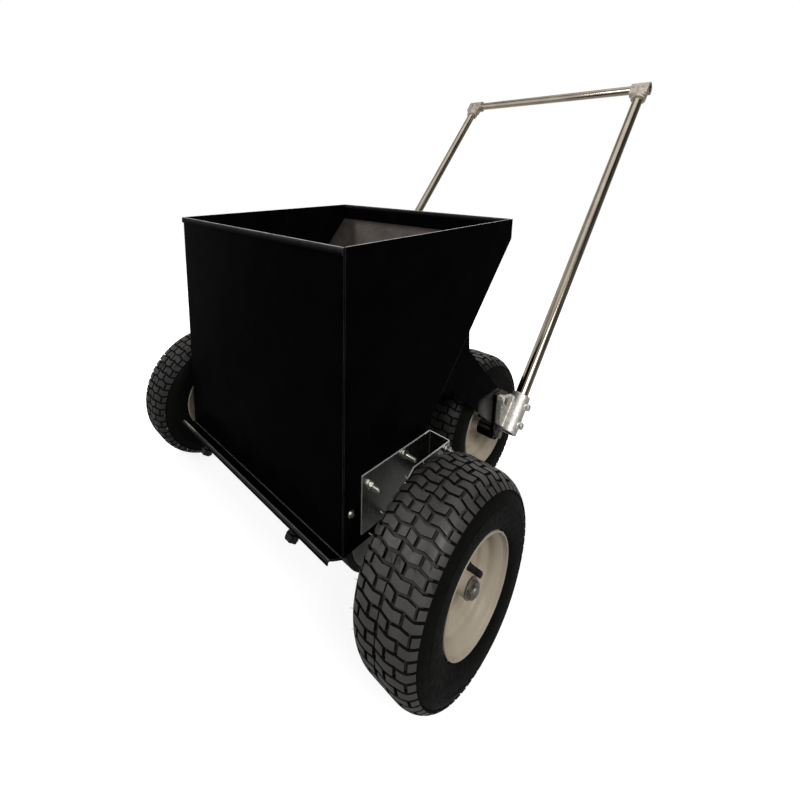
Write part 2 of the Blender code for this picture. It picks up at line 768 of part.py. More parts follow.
for label, side in sides.items():
    wheel("front", label, side, front_track, front_axle_y, axle_bore)
    wheel("rear", label, side, rear_track, rear_axle_y, rear_axle_radius + gap)
    nut_bore = drive_stud_radius + gap
    nut = [
        (nut_bore, washer_face), (washer_radius, washer_face), (washer_radius, washer_face + washer),
        (drive_nut_radius, washer_face + washer, hexagon), (drive_nut_radius, nut_end, hexagon), (nut_bore, nut_end),
    ]
    nut_side = [(p[0], side * p[1], *p[2:]) for p in nut]
    add(f"front_axle_nut_{label}", "zinc_bolt", turned(nut_side, drum_place, 24), drum_origin)

# Rear axle, spacers and nuts
rear_place = across(rear_axle_y, axle_z)
rear_shoulder = side_inner - gap
rear_nut_face = palm_inner
rear_tip = rear_nut_face + rear_nut
rear_axle = [
    (0, -rear_tip), (rear_stud_radius, -rear_tip), (rear_stud_radius, -rear_shoulder),
    (rear_axle_radius, -rear_shoulder), (rear_axle_radius, rear_shoulder), (rear_stud_radius, rear_shoulder),
    (rear_stud_radius, rear_tip), (0, rear_tip),
]
add("rear_axle", "grey_steel", turned(rear_axle, rear_place, 20))
rear_bore = rear_axle_radius + gap
centre_reach = rear_track - hub_inner - gap
centre_spacer = [
    (rear_bore, -centre_reach), (centre_spacer_radius, -centre_reach), (centre_spacer_radius, centre_reach),
    (rear_bore, centre_reach),
]
add("rear_spacer_centre", "grey_steel", turned(centre_spacer, rear_place, 20))
for label, side in sides.items():
    spacer_in = rear_track + hub_outer + gap
    spacer = [
        (rear_bore, spacer_in), (spacer_radius, spacer_in), (spacer_radius, rear_shoulder), (rear_bore, rear_shoulder),
    ]
    add(f"rear_spacer_{label}", "black_coat", turned([(r, side * s) for r, s in spacer], rear_place, 20))
    stud_bore = rear_stud_radius + gap
    nut = [
        (stud_bore, side * rear_nut_face), (rear_nut_radius, side * rear_nut_face, hexagon),
        (rear_nut_radius, side * rear_tip, hexagon), (stud_bore, side * rear_tip),
    ]
    add(f"rear_axle_nut_{label}", "zinc_bolt", turned(nut, rear_place, 12))

# Handle: two posts, the crossbar and its corner elbows
tube_bore = tube_radius + gap
post_low = clamp_low + 0.001
post_high = bar_distance - tube_bore - post_clearance
bar_place = across(bar_centre.y, bar_centre.z)
bar_half = elbow_outer_x - 0.002
handle_origin = post_foot


def tube(lo, hi):
    inside = tube_radius - tube_wall
    return [(inside, lo), (tube_radius, lo), (tube_radius, hi), (inside, hi)]


def rod(radius, lo, hi):
    return [(0, lo), (radius, lo), (radius, hi), (0, hi)]


add("handle_crossbar", "stainless", turned(tube(-bar_half, bar_half), bar_place, 24), handle_origin)
for label, side in sides.items():
    place = on_post(side)
    add(f"handle_post_{label}", "stainless", turned(tube(post_low, post_high), place, 24), handle_origin)

    elbow_reach = (side * elbow_inner_x, side * elbow_outer_x)
    elbow = add(f"handle_elbow_{label}", "cast_alloy", turned(
        rod(socket_radius, *elbow_reach), bar_place, 20), handle_origin)
    leg_low = bar_distance - elbow_leg
    leg = add("leg", "cast_alloy", turned(rod(socket_radius - 0.0005, leg_low, bar_distance), place, 24))
    combine(elbow, [leg], "UNION")
    bar_hole = (side * (elbow_inner_x - sheet), side * (elbow_outer_x + sheet))
    combine(elbow, [
        add("bar_hole", "cast_alloy", turned(rod(tube_bore, *bar_hole), bar_place, 24)),
        add("post_hole", "cast_alloy", turned(rod(tube_bore, leg_low - sheet, bar_distance), place, 24)),
    ], "DIFFERENCE")

    # Clamp casting: the post's socket, the palm against the arm, the bolt boss and two screw bosses
    palm_side = palm_inner + palm_thickness
    inset = 0.003
    web = [
        place(0, inset, clamp_low + inset), place(0, inset, clamp_high - inset),
        place(0, inset - socket_radius, clamp_high - inset),
    ]
    palm = [(palm_front_y, palm_foot), *[(p.y, p.z) for p in web], (palm_front_y, palm_top)]
    clamp = add(f"handle_clamp_{label}", "cast_alloy", turned(
        rod(socket_radius, clamp_low, clamp_high), place, 24))
    boss_top = palm_inner + boss_height
    screw_top = post_spread + socket_radius + screw_boss_reach
    screws = [place(0, 0, c) for c in (screw_low, screw_high)]
    combine(clamp, [
        add("palm", "cast_alloy", prism(palm, across(), side * palm_inner, side * palm_side)),
        add("boss", "cast_alloy", turned(
            rod(boss_radius, side * (palm_inner + inset), side * boss_top), across(clamp_bolt_y, clamp_bolt_z), 20)),
        *[add("screw_boss", "cast_alloy", turned(
            rod(screw_boss_radius, side * post_spread, side * screw_top), across(s.y, s.z), 16)) for s in screws],
    ], "UNION")
    bolt_place = across(clamp_bolt_y, clamp_bolt_z)
    cap_seat = boss_top - cap_depth
    combine(clamp, [
        add("cap_hole", "cast_alloy", turned(
            rod(cap_radius + gap, side * cap_seat, side * (boss_top + sheet)), bolt_place, 16)),
        add("shank_hole", "cast_alloy", turned(
            rod(clamp_shank_radius + gap, side * (palm_inner - sheet), side * (cap_seat + gap)), bolt_place, 12)),
        *[add("screw_hole", "cast_alloy", turned(
            rod(screw_hole_radius, side * post_spread, side * (screw_top + sheet)), across(s.y, s.z), 12))
            for s in screws],
        add("post_hole", "cast_alloy", turned(rod(tube_bore, clamp_low - sheet, clamp_high + sheet), place, 24)),
    ], "DIFFERENCE")

    nut_face = side_inner - gap
    clamp_bolt = [
        (0, nut_face - bolt_nut), (cap_radius, nut_face - bolt_nut, hexagon), (cap_radius, nut_face, hexagon),
        (clamp_shank_radius, nut_face), (clamp_shank_radius, cap_seat + gap), (cap_radius, cap_seat + gap),
        (cap_radius, boss_top - 0.001), (cap_radius * 0.45, boss_top - 0.001), (cap_radius * 0.45, boss_top - 0.004),
        (0, boss_top - 0.004),
    ]
    bolt_side = [(p[0], side * p[1], *p[2:]) for p in clamp_bolt]
    add(f"clamp_bolt_{label}", "zinc_bolt", turned(bolt_side, bolt_place, 12))
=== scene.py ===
# Walk-behind lawn topdresser: the finish of every surface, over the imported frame.
import random
from math import asin, atan2, ceil, copysign, cos, degrees, hypot, pi, radians, sin, tan

import bpy
from mathutils import Matrix, Vector


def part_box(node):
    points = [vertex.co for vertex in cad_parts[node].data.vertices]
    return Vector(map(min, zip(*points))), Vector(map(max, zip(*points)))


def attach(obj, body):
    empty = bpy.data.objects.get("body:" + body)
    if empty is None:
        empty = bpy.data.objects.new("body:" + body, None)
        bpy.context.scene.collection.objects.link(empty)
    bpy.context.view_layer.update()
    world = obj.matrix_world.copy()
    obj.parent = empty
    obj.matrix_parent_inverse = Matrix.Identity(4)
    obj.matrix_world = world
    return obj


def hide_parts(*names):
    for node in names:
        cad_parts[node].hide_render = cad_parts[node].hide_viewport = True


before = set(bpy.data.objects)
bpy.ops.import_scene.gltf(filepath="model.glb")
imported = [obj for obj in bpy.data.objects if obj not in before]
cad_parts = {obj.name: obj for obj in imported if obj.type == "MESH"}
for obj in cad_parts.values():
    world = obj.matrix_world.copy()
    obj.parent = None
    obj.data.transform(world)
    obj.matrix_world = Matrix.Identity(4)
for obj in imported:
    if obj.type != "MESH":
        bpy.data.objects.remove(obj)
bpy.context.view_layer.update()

random.seed(7)
axisX = Vector((1, 0, 0))


# Materials

def linearColour(code):
    parts = [int(code[i:i + 2], 16) / 255 for i in (1, 3, 5)]
    return [(c / 12.92 if c <= 0.04045 else ((c + 0.055) / 1.055) ** 2.4) for c in parts] + [1.0]


# Starts the nodes of a material or the world; addNode adds to the one started last.
def startTree(owner, empty=False):
    global tree
    owner.use_nodes = True
    tree = owner.node_tree
    if empty:
        tree.nodes.clear()


# Adds one node with its settings and its inputs, which are values or sockets to link.
def addNode(kind, settings=(), inputs=()):
    node = tree.nodes.new("ShaderNode" + kind)
    for key, value in dict(settings).items():
        setattr(node, key, value)
    for key, value in dict(inputs).items():
        if isinstance(value, bpy.types.NodeSocket):
            tree.links.new(value, node.inputs[key])
        else:
            node.inputs[key].default_value = value
    return node


def startMaterial(name, base, metallic, roughness, specular=0.5):
    material = bpy.data.materials.new(name)
    startTree(material)
    shader = tree.nodes["Principled BSDF"]
    shader.inputs["Base Color"].default_value = linearColour(base)
    shader.inputs["Metallic"].default_value = metallic
    shader.inputs["Roughness"].default_value = roughness
    shader.inputs["Specular IOR Level"].default_value = specular
    place = addNode("TexCoord").outputs["Object"]
    return material, shader, place


# A noise whose grain is given in millimetres.
def grain(place, millimetres, detail=4.0, stretch=(1, 1, 1)):
    spot = addNode("Mapping", {}, {"Vector": place, "Scale": stretch}).outputs["Vector"]
    return addNode("TexNoise", {}, {
        "Vector": spot, "Scale": 1000 / millimetres, "Detail": detail, "Roughness": 0.55}).outputs["Fac"]


def spread(factor, low, high, start=0.3, end=0.7):
    return addNode("MapRange", {}, {
        "Value": factor, "From Min": start, "From Max": end, "To Min": low, "To Max": high}).outputs["Result"]


# Mixes two colours, each a hex code or a socket.
def blendColours(factor, first, second):
    first, second = [linearColour(c) if isinstance(c, str) else c for c in (first, second)]
    return addNode("Mix", {"data_type": "RGBA"}, {0: factor, 6: first, 7: second}).outputs[2]


def blendValues(factor, first, second):
    return addNode("Mix", {}, {0: factor, 2: first, 3: second}).outputs[0]


def maths(operation, *values):
    return addNode("Math", {"operation": operation}, dict(enumerate(values))).outputs[0]


def multiply(product, *factors):
    for factor in factors:
        product = maths("MULTIPLY", product, factor)
    return product


def coordinate(vector, axis):
    return addNode("SeparateXYZ", {}, {0: vector}).outputs[axis]


def plug(shader, name, socket):
    tree.links.new(socket, shader.inputs[name])


def raise_(shader, height, distance, strength=1.0):
    bump = addNode("Bump", {}, {"Height": height, "Distance": distance, "Strength": strength})
    plug(shader, "Normal", bump.outputs["Normal"])


# How far a surface faces up: nought at the first limit, one at the second.
def facingUp(start, end):
    normal = addNode("TexCoord").outputs["Normal"]
    return spread(coordinate(normal, "Z"), 0.0, 1.0, start, end)


# How far a surface faces either way along an axis: nought at the first limit, one at the second.
def facing(axis, start, end):
    normal = addNode("TexCoord").outputs["Normal"]
    return spread(maths("ABSOLUTE", coordinate(normal, axis)), 0.0, 1.0, start, end)


# Black satin powder coat on steel sheet, with dust on the slopes. The rolled hem is painted paler toward its
# top, a painted highlight; the sheet edges get a painted grey highlight, and those that face up a bright
# painted highlight.
def makePowderCoat():
    material, shader, place = startMaterial("blackPowderCoat", "#060607", 0.0, 0.3, 0.01)
    height = coordinate(place, "Z")
    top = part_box("hopper_side_left")[1][2]

    def patches(millimetres, detail, low):
        return spread(grain(place, millimetres, detail), low, 1.0)

    dusty = multiply(facingUp(0.45, 0.6), facingUp(0.85, 0.75), patches(35, 5, 0.6))
    # painted highlight: the outer face of the hem is painted paler toward its top
    hem = multiply(spread(height, 0.0, 1.0, top - 0.012, top), facing("Y", 0.5, 0.9))
    hem = multiply(hem, hem, patches(12, 4, 0.6))
    # painted highlight: bevelled edges that face partly sideways are painted grey
    sideEdgeHighlight = multiply(facing("X", 0.25, 0.45), facing("X", 0.97, 0.85), patches(20, 4, 0.3))
    # painted highlight: edges that face up are painted near white, less so low down, and given more shine
    upEdgeHighlight = multiply(facingUp(0.9, 0.97), patches(15, 5, 0.5), spread(height, 0.3, 1.0, 0.3, 0.5))
    coat = blendColours(patches(60, 3, 0.0), "#050506", "#0a0a0b")
    for share, colour in ((dusty, "#47423f"), (hem, "#4e4e4c"), (sideEdgeHighlight, "#404040"), (upEdgeHighlight, "#b4b4b3")):
        coat = blendColours(share, coat, colour)
    plug(shader, "Base Color", coat)
    plug(shader, "Roughness", spread(grain(place, 14), 0.26, 0.4))
    # handled smooth beside the clamp, so the bright casting shows in the paint there
    low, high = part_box("handle_clamp_left")
    polished = multiply(
        spread(coordinate(place, "Y"), 0.0, 1.0, low[1] - 0.07, low[1] - 0.045),
        facing("X", 0.97, 1.0), spread(height, 1.0, 0.0, high[2] - 0.01, high[2] + 0.01),
        spread(height, 0.0, 0.8, low[2] - 0.006, low[2] + 0.006))
    shiny = maths("MAXIMUM", upEdgeHighlight, polished)
    plug(shader, "Specular IOR Level", spread(shiny, 0.003, 0.5, 0.0, 1.0))
    raise_(shader, grain(place, 1.6, 2), 0.00012, 0.5)
    return material


# Zinc plated sheet steel: a cool grey mirror, clouded, with faint rolling lines along the sheet.
def makeZincSheet(name, dark, light):
    material, shader, place = startMaterial(name, light, 1.0, 0.2)
    cloud = grain(place, 60, 3)
    plug(shader, "Base Color", blendColours(spread(cloud, 0, 1), dark, light))
    lines = grain(place, 1.2, 3, (1, 1, 0.04))
    mixed = maths("ADD", cloud, lines)
    plug(shader, "Roughness", spread(mixed, 0.22, 0.34, 0.7, 1.3))
    raise_(shader, lines, 0.00002, 0.2)
    return material


# The other finishes. The cloud blends the two colours, and the gloss follows it or a grain of its own.
# The bump is a grain, a height and a strength; a grain is its size in millimetres, detail and stretch.
def makeFinish(name, colours, kind, cloud, gloss, bump=None, glossGrain=None, contrast=(0.3, 0.7)):
    plain, dark, light = colours
    material, shader, place = startMaterial(name, plain, *kind)
    patches = grain(place, *cloud)
    coat = blendColours(spread(patches, 0, 1, *contrast), dark, light)
    plug(shader, "Base Color", coat)
    sheen = grain(place, *glossGrain) if glossGrain else patches
    plug(shader, "Roughness", spread(sheen, *gloss))
    if bump:
        raise_(shader, grain(place, *bump[0]), *bump[1:])
    return material


# Aluminium casting, tumbled: a pale, soft shine over a fine sand grain, with darker clouds.
def makeCastAluminium(name, dark, light, sandHeight):
    bump = ((2.6, 3), sandHeight, 0.5)
    colours = (light, dark, light)
    return makeFinish(name, colours, (1.0, 0.5), (5, 5), (0.58, 0.42), bump, contrast=(0.35, 0.6))


# Moulded tyre rubber: a soft black with a fine mould grain, paler on the tread from the dust.
def makeTyreRubber(name, dark, light, specular, gloss):
    return makeFinish(name, (dark, dark, light), (0.0, gloss, specular), (25, 5), (gloss - 0.1, gloss + 0.1),
                      ((1.5, 4), 0.0002, 0.4), glossGrain=(8,))


finish = {
    "black_coat": makePowderCoat(),
    "zinc_sheet": makeZincSheet("zincPlatedSheet", "#999b97", "#a7a9a5"),
    # bright fasteners: a warm silver, a little uneven in gloss from the plating bath
    "zinc_bolt": makeFinish("zincPlatedFastener", ("#c4c2b8", "#b5b3a8", "#d2d1c9"), (1.0, 0.3), (5, 4),
                            (0.22, 0.4), ((0.8, 2), 0.00003, 0.5)),
    # turned mild steel: a mid grey with fine cutting marks and a dull film of oil
    "grey_steel": makeFinish("turnedMildSteel", ("#8d8e8c", "#7d7e7c", "#9d9e9b"), (1.0, 0.42), (30, 3),
                             (0.34, 0.52), ((1.5, 4, (3, 0.3, 0.3)), 0.00005, 0.4), (1.5, 4, (3, 0.3, 0.3))),
    # polished tube: crisp warm bands of reflection, a little hazier in patches
    "stainless": makeFinish("beltPolishedStainless", ("#b0a594", "#a3998a", "#bcb1a0"), (1.0, 0.14), (60, 3),
                            (0.1, 0.17)),
    "cast_alloy": makeCastAluminium("tumbledCastAluminium", "#c7c4bc", "#f0ede6", 0.00016),
    # stoving enamel: an even warm coat, a little glossy, with a slow ripple from the press
    "cream_paint": makeFinish("creamStovingEnamel", ("#bdb19d", "#bdb19d", "#cabeab"), (0.0, 0.46, 0.4),
                              (40, 3), (0.4, 0.54), ((2.2, 2), 0.0001, 0.3), (9,)),
    "tyre_rubber": makeTyreRubber("mouldedTyreRubber", "#0b0b0a", "#11100f", 0.05, 0.6),
    # extruded rubber on the drum and valves: matt black with a slight bloom
    "soft_rubber": makeFinish("blackNitrileRubber", ("#1b1b1c", "#1f1e20", "#2c2b2e"), (0.0, 0.6, 0.2),
                              (30, 4), (0.5, 0.7), ((2, 3), 0.0002, 0.4)),
    # the star knobs' hard black plastic, with a low shine and a light pitting
    "black_plastic": makeFinish("mouldedPhenolic", ("#0c0c0d", "#0a0a0b", "#111112"), (0.0, 0.35, 0.2),
                                (6, 3), (0.28, 0.44), ((0.9, 3), 0.00008, 0.4)),
}
treadFinish = makeTyreRubber("dustyTreadRubber", "#343230", "#474542", 0.5, 0.46)
# dust on the groove floors, painted as light as the block tops against the shade that falls in the grooves
grooveDustAndLiftFinish = makeTyreRubber("dustyGrooveRubberPaintedLight", "#383633", "#444240", 0.3, 0.6)
# painted shade: the sides of the tread blocks
blockWallShadeFinish = makeTyreRubber("paintedShadeTreadWall", "#151413", "#1d1c1b", 0.1, 0.6)
# painted shade: darker rubber for the tyres in the hopper's shade
shadedTreadFinish = makeTyreRubber("paintedShadeTreadRubber", "#1c1b1a", "#262423", 0.3, 0.5)
shadedGrooveFinish = makeTyreRubber("paintedShadeGrooveRubber", "#0f0e0e", "#151414", 0.1, 0.6)
# painted shade: the flat palm face of the clamp, darker than the socket, with a rougher grain
palmShadeFinish = makeCastAluminium("roughCastAluminiumPaintedShade", "#8d8b85", "#b2b0aa", 0.00022)
elbowFinish = makeCastAluminium("dullCastAluminium", "#bdb4a7", "#d2c9bc", 0.00002)
# painted shade: dark zinc for the web inside the bracket's U and the cap screw's hole
shadeZincFinish = makeZincSheet("paintedShadeZincSheet", "#363735", "#454643")
# sheared edges of the zinc sheet: softly frosted and painted near white, a painted highlight that catches
# every lamp
edgeHighlightFinish = makeFinish("shearedZincEdgePaintedHighlight", ("#f0f0ee", "#e4e5e3", "#fafaf8"), (0.5, 0.45), (1.5, 3),
                        (0.38, 0.54), ((1.5, 3), 0.00003, 0.3))
# older zinc of the axle nuts: a grey brown with little shine
nutFinish = makeFinish("dullZincNut", ("#8a867b", "#757166", "#a3a096"), (1.0, 0.45), (6, 4), (0.36, 0.54),
                       ((0.9, 2), 0.00004, 0.5))
print("materials made")


# Modelling steps

def leaveEdit():
    bpy.ops.object.mode_set(mode="OBJECT")


# Selects one piece, or nothing before a new one is added.
def onlySelect(piece=None):
    if bpy.context.mode != "OBJECT":
        leaveEdit()
    bpy.ops.object.select_all(action="DESELECT")
    if piece:
        piece.select_set(True)
        bpy.context.view_layer.objects.active = piece


def settleNew():
    piece = bpy.context.object
    bpy.ops.object.transform_apply(location=True, rotation=True, scale=True)
    return piece


def editAll(piece):
    onlySelect(piece)
    bpy.ops.object.mode_set(mode="EDIT")
    bpy.ops.mesh.select_mode(type="VERT")
    bpy.ops.mesh.select_all(action="SELECT")


def closeUp(weld=True):
    bpy.ops.mesh.select_all(action="SELECT")
    if weld:
        bpy.ops.mesh.remove_doubles(threshold=2e-6)
    bpy.ops.mesh.normals_make_consistent(inside=False)
    leaveEdit()


# An empty piece left in edit mode, for shapes that are added one by one.
def startEmpty():
    onlySelect()
    bpy.ops.mesh.primitive_plane_add(size=0.01)
    piece = settleNew()
    editAll(piece)
    bpy.ops.mesh.delete(type="VERT")
    return piece


# A small plane merged to one vertex, which is extruded from point to point.
def drawPath(points, closed=True):
    onlySelect()
    bpy.ops.mesh.primitive_plane_add(size=0.001, location=points[0])
    piece = settleNew()
    editAll(piece)
    bpy.ops.mesh.merge(type="CENTER")
    route = list(points) + ([points[0]] if closed else [])
    for before, after in zip(route, route[1:]):
        step = Vector(after) - Vector(before)
        bpy.ops.mesh.extrude_region_move(TRANSFORM_OT_translate={"value": step})
    bpy.ops.mesh.select_all(action="SELECT")
    bpy.ops.mesh.remove_doubles(threshold=2e-6)
    return piece


# A turned piece: a profile of (radius, distance) spun round an axis. One that ends on the axis isn't closed.
def turnPiece(profile, centre, axis=axisX, steps=48):
    axis = Vector(axis).normalized()
    out = axis.orthogonal().normalized()
    points = [Vector(centre) + out * radius + axis * distance for radius, distance in profile]
    piece = drawPath(points, closed=profile[0][0] > 0)
    bpy.ops.mesh.spin(steps=steps, angle=2 * pi, center=centre, axis=axis)
    closeUp()
    return piece


# A plate or a bent sheet: a flat outline filled and extruded.
def extrudeOutline(points, push):
    piece = drawPath(points)
    bpy.ops.mesh.fill(use_beauty=True)
    bpy.ops.mesh.select_all(action="SELECT")
    bpy.ops.mesh.extrude_region_move(TRANSFORM_OT_translate={"value": push})
    closeUp()
    return piece


def applyModifier(piece, name, kind, **settings):
    onlySelect(piece)
    step = piece.modifiers.new(name, kind)
    for key, value in settings.items():
        setattr(step, key, value)
    bpy.ops.object.modifier_apply(modifier=name)


def cutOrJoin(piece, others, operation="DIFFERENCE"):
    for other in others:
        applyModifier(piece, operation.lower(), "BOOLEAN", operation=operation, object=other, solver="EXACT")
        bpy.data.objects.remove(other, do_unlink=True)


def joinPieces(first, others):
    onlySelect(first)
    for other in others:
        other.select_set(True)
    bpy.ops.object.join()
    return first


def duplicatePiece(piece, mirror=False, shift=(0, 0, 0)):
    onlySelect(piece)
    bpy.ops.object.duplicate()
    twin = bpy.context.object
    twin.location = shift
    twin.scale = (-1 if mirror else 1, 1, 1)
    settleNew()
    if mirror:
        editAll(twin)
        closeUp(weld=False)
    return twin


def useFinishes(piece, *finishes):
    piece.data.materials.clear()
    for used in finishes:
        piece.data.materials.append(used)


# Names a piece after the node that it replaces, rounds and shades it, and gives it its body and finish.
def finishPiece(piece, node, slot, body, name=None, roundOver=0.0, smooth=50, even=False):
    first, *others = node.split("_")
    piece.name = name or first + "".join(word.title() for word in others)
    piece.data.name = piece.name
    if roundOver:
        applyModifier(piece, "roundOver", "BEVEL", width=roundOver, segments=2, limit_method="ANGLE",
                      angle_limit=radians(30), use_clamp_overlap=True)
    onlySelect(piece)
    bpy.ops.object.shade_smooth_by_angle(angle=radians(smooth))
    if roundOver or even:
        applyModifier(piece, "evenFaces", "WEIGHTED_NORMAL", keep_sharp=True, weight=60)
    if not piece.data.materials:
        piece.data.materials.append(finish[slot])
    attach(piece, body)
    nodes = [node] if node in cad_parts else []
    if nodes:
        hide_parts(*nodes)


# Makes the left piece's mirror image and finishes both.
def finishPair(piece, stem, slot, bodies, **more):
    twin = duplicatePiece(piece, mirror=True)
    bodies = (bodies, bodies) if isinstance(bodies, str) else bodies
    for part, body, side in zip((piece, twin), bodies, ("left", "right")):
        finishPiece(part, f"{stem}_{side}", slot, body, **more)


def centreOf(node):
    low, high = [Vector(corner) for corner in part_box(node)]
    return (low + high) / 2


def sizeOf(node):
    low, high = [Vector(corner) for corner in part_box(node)]
    return high - low


# Rounds the corners of a flat outline of (a, b) or (a, b, radius).
def roundCorners(points, closed=True, largest=12):
    result = []
    for i, point in enumerate(points):
        here = Vector(point[:2])
        if len(point) < 3 or (not closed and i in (0, len(points) - 1)):
            result.append(here)
            continue
        before = (Vector(points[i - 1][:2]) - here).normalized()
        after = (Vector(points[(i + 1) % len(points)][:2]) - here).normalized()
        bend = pi - before.angle(after)
        centre = here + (before + after).normalized() * (point[2] / cos(bend / 2))
        first = here + before * point[2] * tan(bend / 2) - centre
        turn = copysign(bend, after.cross(before))
        steps = max(2, ceil(degrees(bend) / largest))
        for k in range(steps + 1):
            result.append(centre + Matrix.Rotation(turn * k / steps, 2) @ first)
    return [p for i, p in enumerate(result) if i == 0 or (p - result[i - 1]).length > 1e-5]


# The outline of a bent sheet round its middle line.
def sheetOutline(path, thickness):
    line = roundCorners(path, closed=False, largest=10)
    left, right = [], []
    for i, here in enumerate(line):
        before = (here - line[i - 1]).normalized() if i else None
        after = (line[i + 1] - here).normalized() if i < len(line) - 1 else None
        before, after = before or after, after or before
        mean = (before + after).normalized()
        normal = Vector((-mean.y, mean.x)) * (thickness / 2 / mean.dot(before))
        left.append(here + normal)
        right.append(here - normal)
    return left + right[::-1]


# Studio: camera, floor, lamps

camera = {
    "place": (0.6722, -1.0171, 0.7648), "pitch": 79.77, "heading": 47.64, "lens": 19.66,
    "shiftAcross": 0.0887, "shiftUp": -0.1918,
}
view = bpy.data.cameras.new("camera")
view.lens = camera["lens"]
view.sensor_width = 36
view.shift_x = camera["shiftAcross"]
view.shift_y = camera["shiftUp"]
viewer = bpy.data.objects.new("camera", view)
viewer.location = camera["place"]
viewer.rotation_euler = [radians(a) for a in (camera["pitch"], 0, camera["heading"])]
bpy.context.scene.collection.objects.link(viewer)
bpy.context.scene.camera = viewer
bpy.context.scene.view_settings.view_transform = "Standard"

studio = {
    "floorSize": 24.0, "floorColour": "#e4e4e2", "floorBounce": "#5c5c5a", "closeFloor": 0.38,
    "shadowShare": 0.5, "near": 1.2, "far": 3.2, "glow": 1.7,
    "ambient": 0.25, "ceiling": 0.45, "overhead": 1.2, "wall": 0.12, "wallFrom": 0.8, "wallTo": 2.2,
    # walls in rows: how many, the bearing of the first in degrees, and a share that rises as they narrow
    "walls": ((1.0, 35, 0.8), (5.0, 10, 0.9)),
}


def cameraRay():
    return addNode("LightPath").outputs["Is Camera Ray"]


# One where the camera, a mirror or glass looks at it, nought for light that falls on the object.
def seenDirectly():
    path = addNode("LightPath").outputs
    first = maths("MAXIMUM", path["Is Camera Ray"], path["Is Glossy Ray"])
    return maths("MAXIMUM", first, path["Is Transmission Ray"])


# A few darker walls round the room, which only mirrors show: upright bands in the light along the tubes.
def wallBands(place):
    turn = maths("ARCTAN2", coordinate(place, "Y"), coordinate(place, "X"))
    band = 1.0
    for count, start, edge in studio["walls"]:
        wave = maths("COSINE", maths("MULTIPLY_ADD", turn, count, radians(-start * count)))
        band = multiply(band, spread(wave, 1.0, studio["wall"], edge - 0.1, edge + 0.1))
    return maths("MAXIMUM", band, cameraRay())


# The floor shows the object's shadow and fades to plain white a few steps away.
def makeFloor():
    material = bpy.data.materials.new("paleFloor")
    startTree(material, empty=True)
    spot = addNode("TexCoord").outputs["Object"]
    away = addNode("VectorMath", {"operation": "LENGTH"}, {0: spot}).outputs["Value"]
    glow = spread(away, studio["glow"], 1.0, studio["near"], studio["far"])
    fade = spread(away, 1 - studio["shadowShare"], 1.0, studio["near"], studio["far"])
    direct = cameraRay()
    paint = blendColours(direct, studio["floorBounce"], studio["floorColour"])
    matt = addNode("BsdfDiffuse", {}, {"Color": paint}).outputs[0]
    close = maths("MAXIMUM", direct, studio["closeFloor"])
    reach = spread(away, 0.0, 1.0, studio["wallFrom"], studio["wallTo"])
    light = multiply(glow, blendValues(reach, close, wallBands(spot)))
    white = addNode("Emission", {}, {"Strength": light}).outputs[0]
    share = multiply(seenDirectly(), fade)
    mixed = addNode("MixShader", {}, {0: share, 1: matt, 2: white}).outputs[0]
    addNode("OutputMaterial", {}, {"Surface": mixed})
    onlySelect()
    bpy.ops.mesh.primitive_plane_add(size=studio["floorSize"], location=(0, 0, -0.0005))
    floor = settleNew()
    floor.name = "floor"
    floor.data.materials.append(material)


# White where the camera looks, and in mirrors near the horizon; the ceiling that metals mirror is dim.
def makeWorld():
    world = bpy.data.worlds.new("studio")
    bpy.context.scene.world = world
    startTree(world, empty=True)
    way = addNode("TexCoord").outputs["Generated"]
    height = coordinate(way, "Z")
    mirrored = multiply(spread(height, 1.0, studio["ceiling"], 0.25, 0.65), wallBands(way))
    mirrored = blendValues(spread(height, 0.0, 1.0, 0.86, 0.96), mirrored, studio["overhead"])
    seen = maths("MAXIMUM", mirrored, cameraRay())
    strength = blendValues(seenDirectly(), studio["ambient"], seen)
    back = addNode("Background", {}, {"Color": (1, 1, 1, 1), "Strength": strength}).outputs[0]
    addNode("OutputWorld", {}, {"Surface": back})


# each lamp: its place, size and power
lamps = {
    "key": ((2.2, -1.2, 2.2), 1.3, 34),
    "front": ((-0.45, -2.1, 1.8), 0.5, 9),
    "ceiling": ((-1.65, 0.1, 2.04), 0.25, 110),
    "rear": ((0.6, 1.9, 2.6), 1.8, 6),
}


def makeLamps():
    for name, (place, size, power) in lamps.items():
        lamp = bpy.data.lights.new(name, "AREA")
        lamp.size = size
        lamp.energy = power
        holder = bpy.data.objects.new(name, lamp)
        holder.location = place
        # the small lamp would be a string of sparks in the tubes
        holder.visible_glossy = name != "ceiling"
        holder.rotation_euler = (Vector((0, 0, 0.3)) - Vector(place)).to_track_quat("-Z", "Y").to_euler()
        bpy.context.scene.collection.objects.link(holder)


makeFloor()
makeWorld()
makeLamps()
print("studio ready")


# Wheels

wheel = {
    "crownHalf": 0.0215, "shoulder": 0.037, "blockDepth": 0.0055, "pitches": 30, "blockLength": 0.013,
    "zigzag": 0.0038, "zigzagWave": 0.031, "rowPhase": 44.6, "roundOver": 0.0006,
    "floorStart": 0.149, "carcassSteps": 120, "rimSteps": 96, "wallShadeLean": 0.55,
    "frontBore": 0.0128, "rearBore": 0.0098,
}
frontTyre = centreOf("front_tyre_left")
tyreRadius = sizeOf("front_tyre_left").z / 2
tyreHalf = sizeOf("front_tyre_left").x / 2

# the blocks of the two rows in a pitch: first and last distance from the middle, and the row
treadBlocks = [
    (0.003, 0.0294, 0), (0.0337, 0.0587, 0),
    (0.0008, 0.013, 1), (0.0181, 0.0436, 1), (0.0475, 0.0587, 1),
]


def zigzagAt(across):
    wave = abs(across) / wheel["zigzagWave"] % 1.0
    return wheel["zigzag"] * (0.5 - abs(2 * wave - 1))


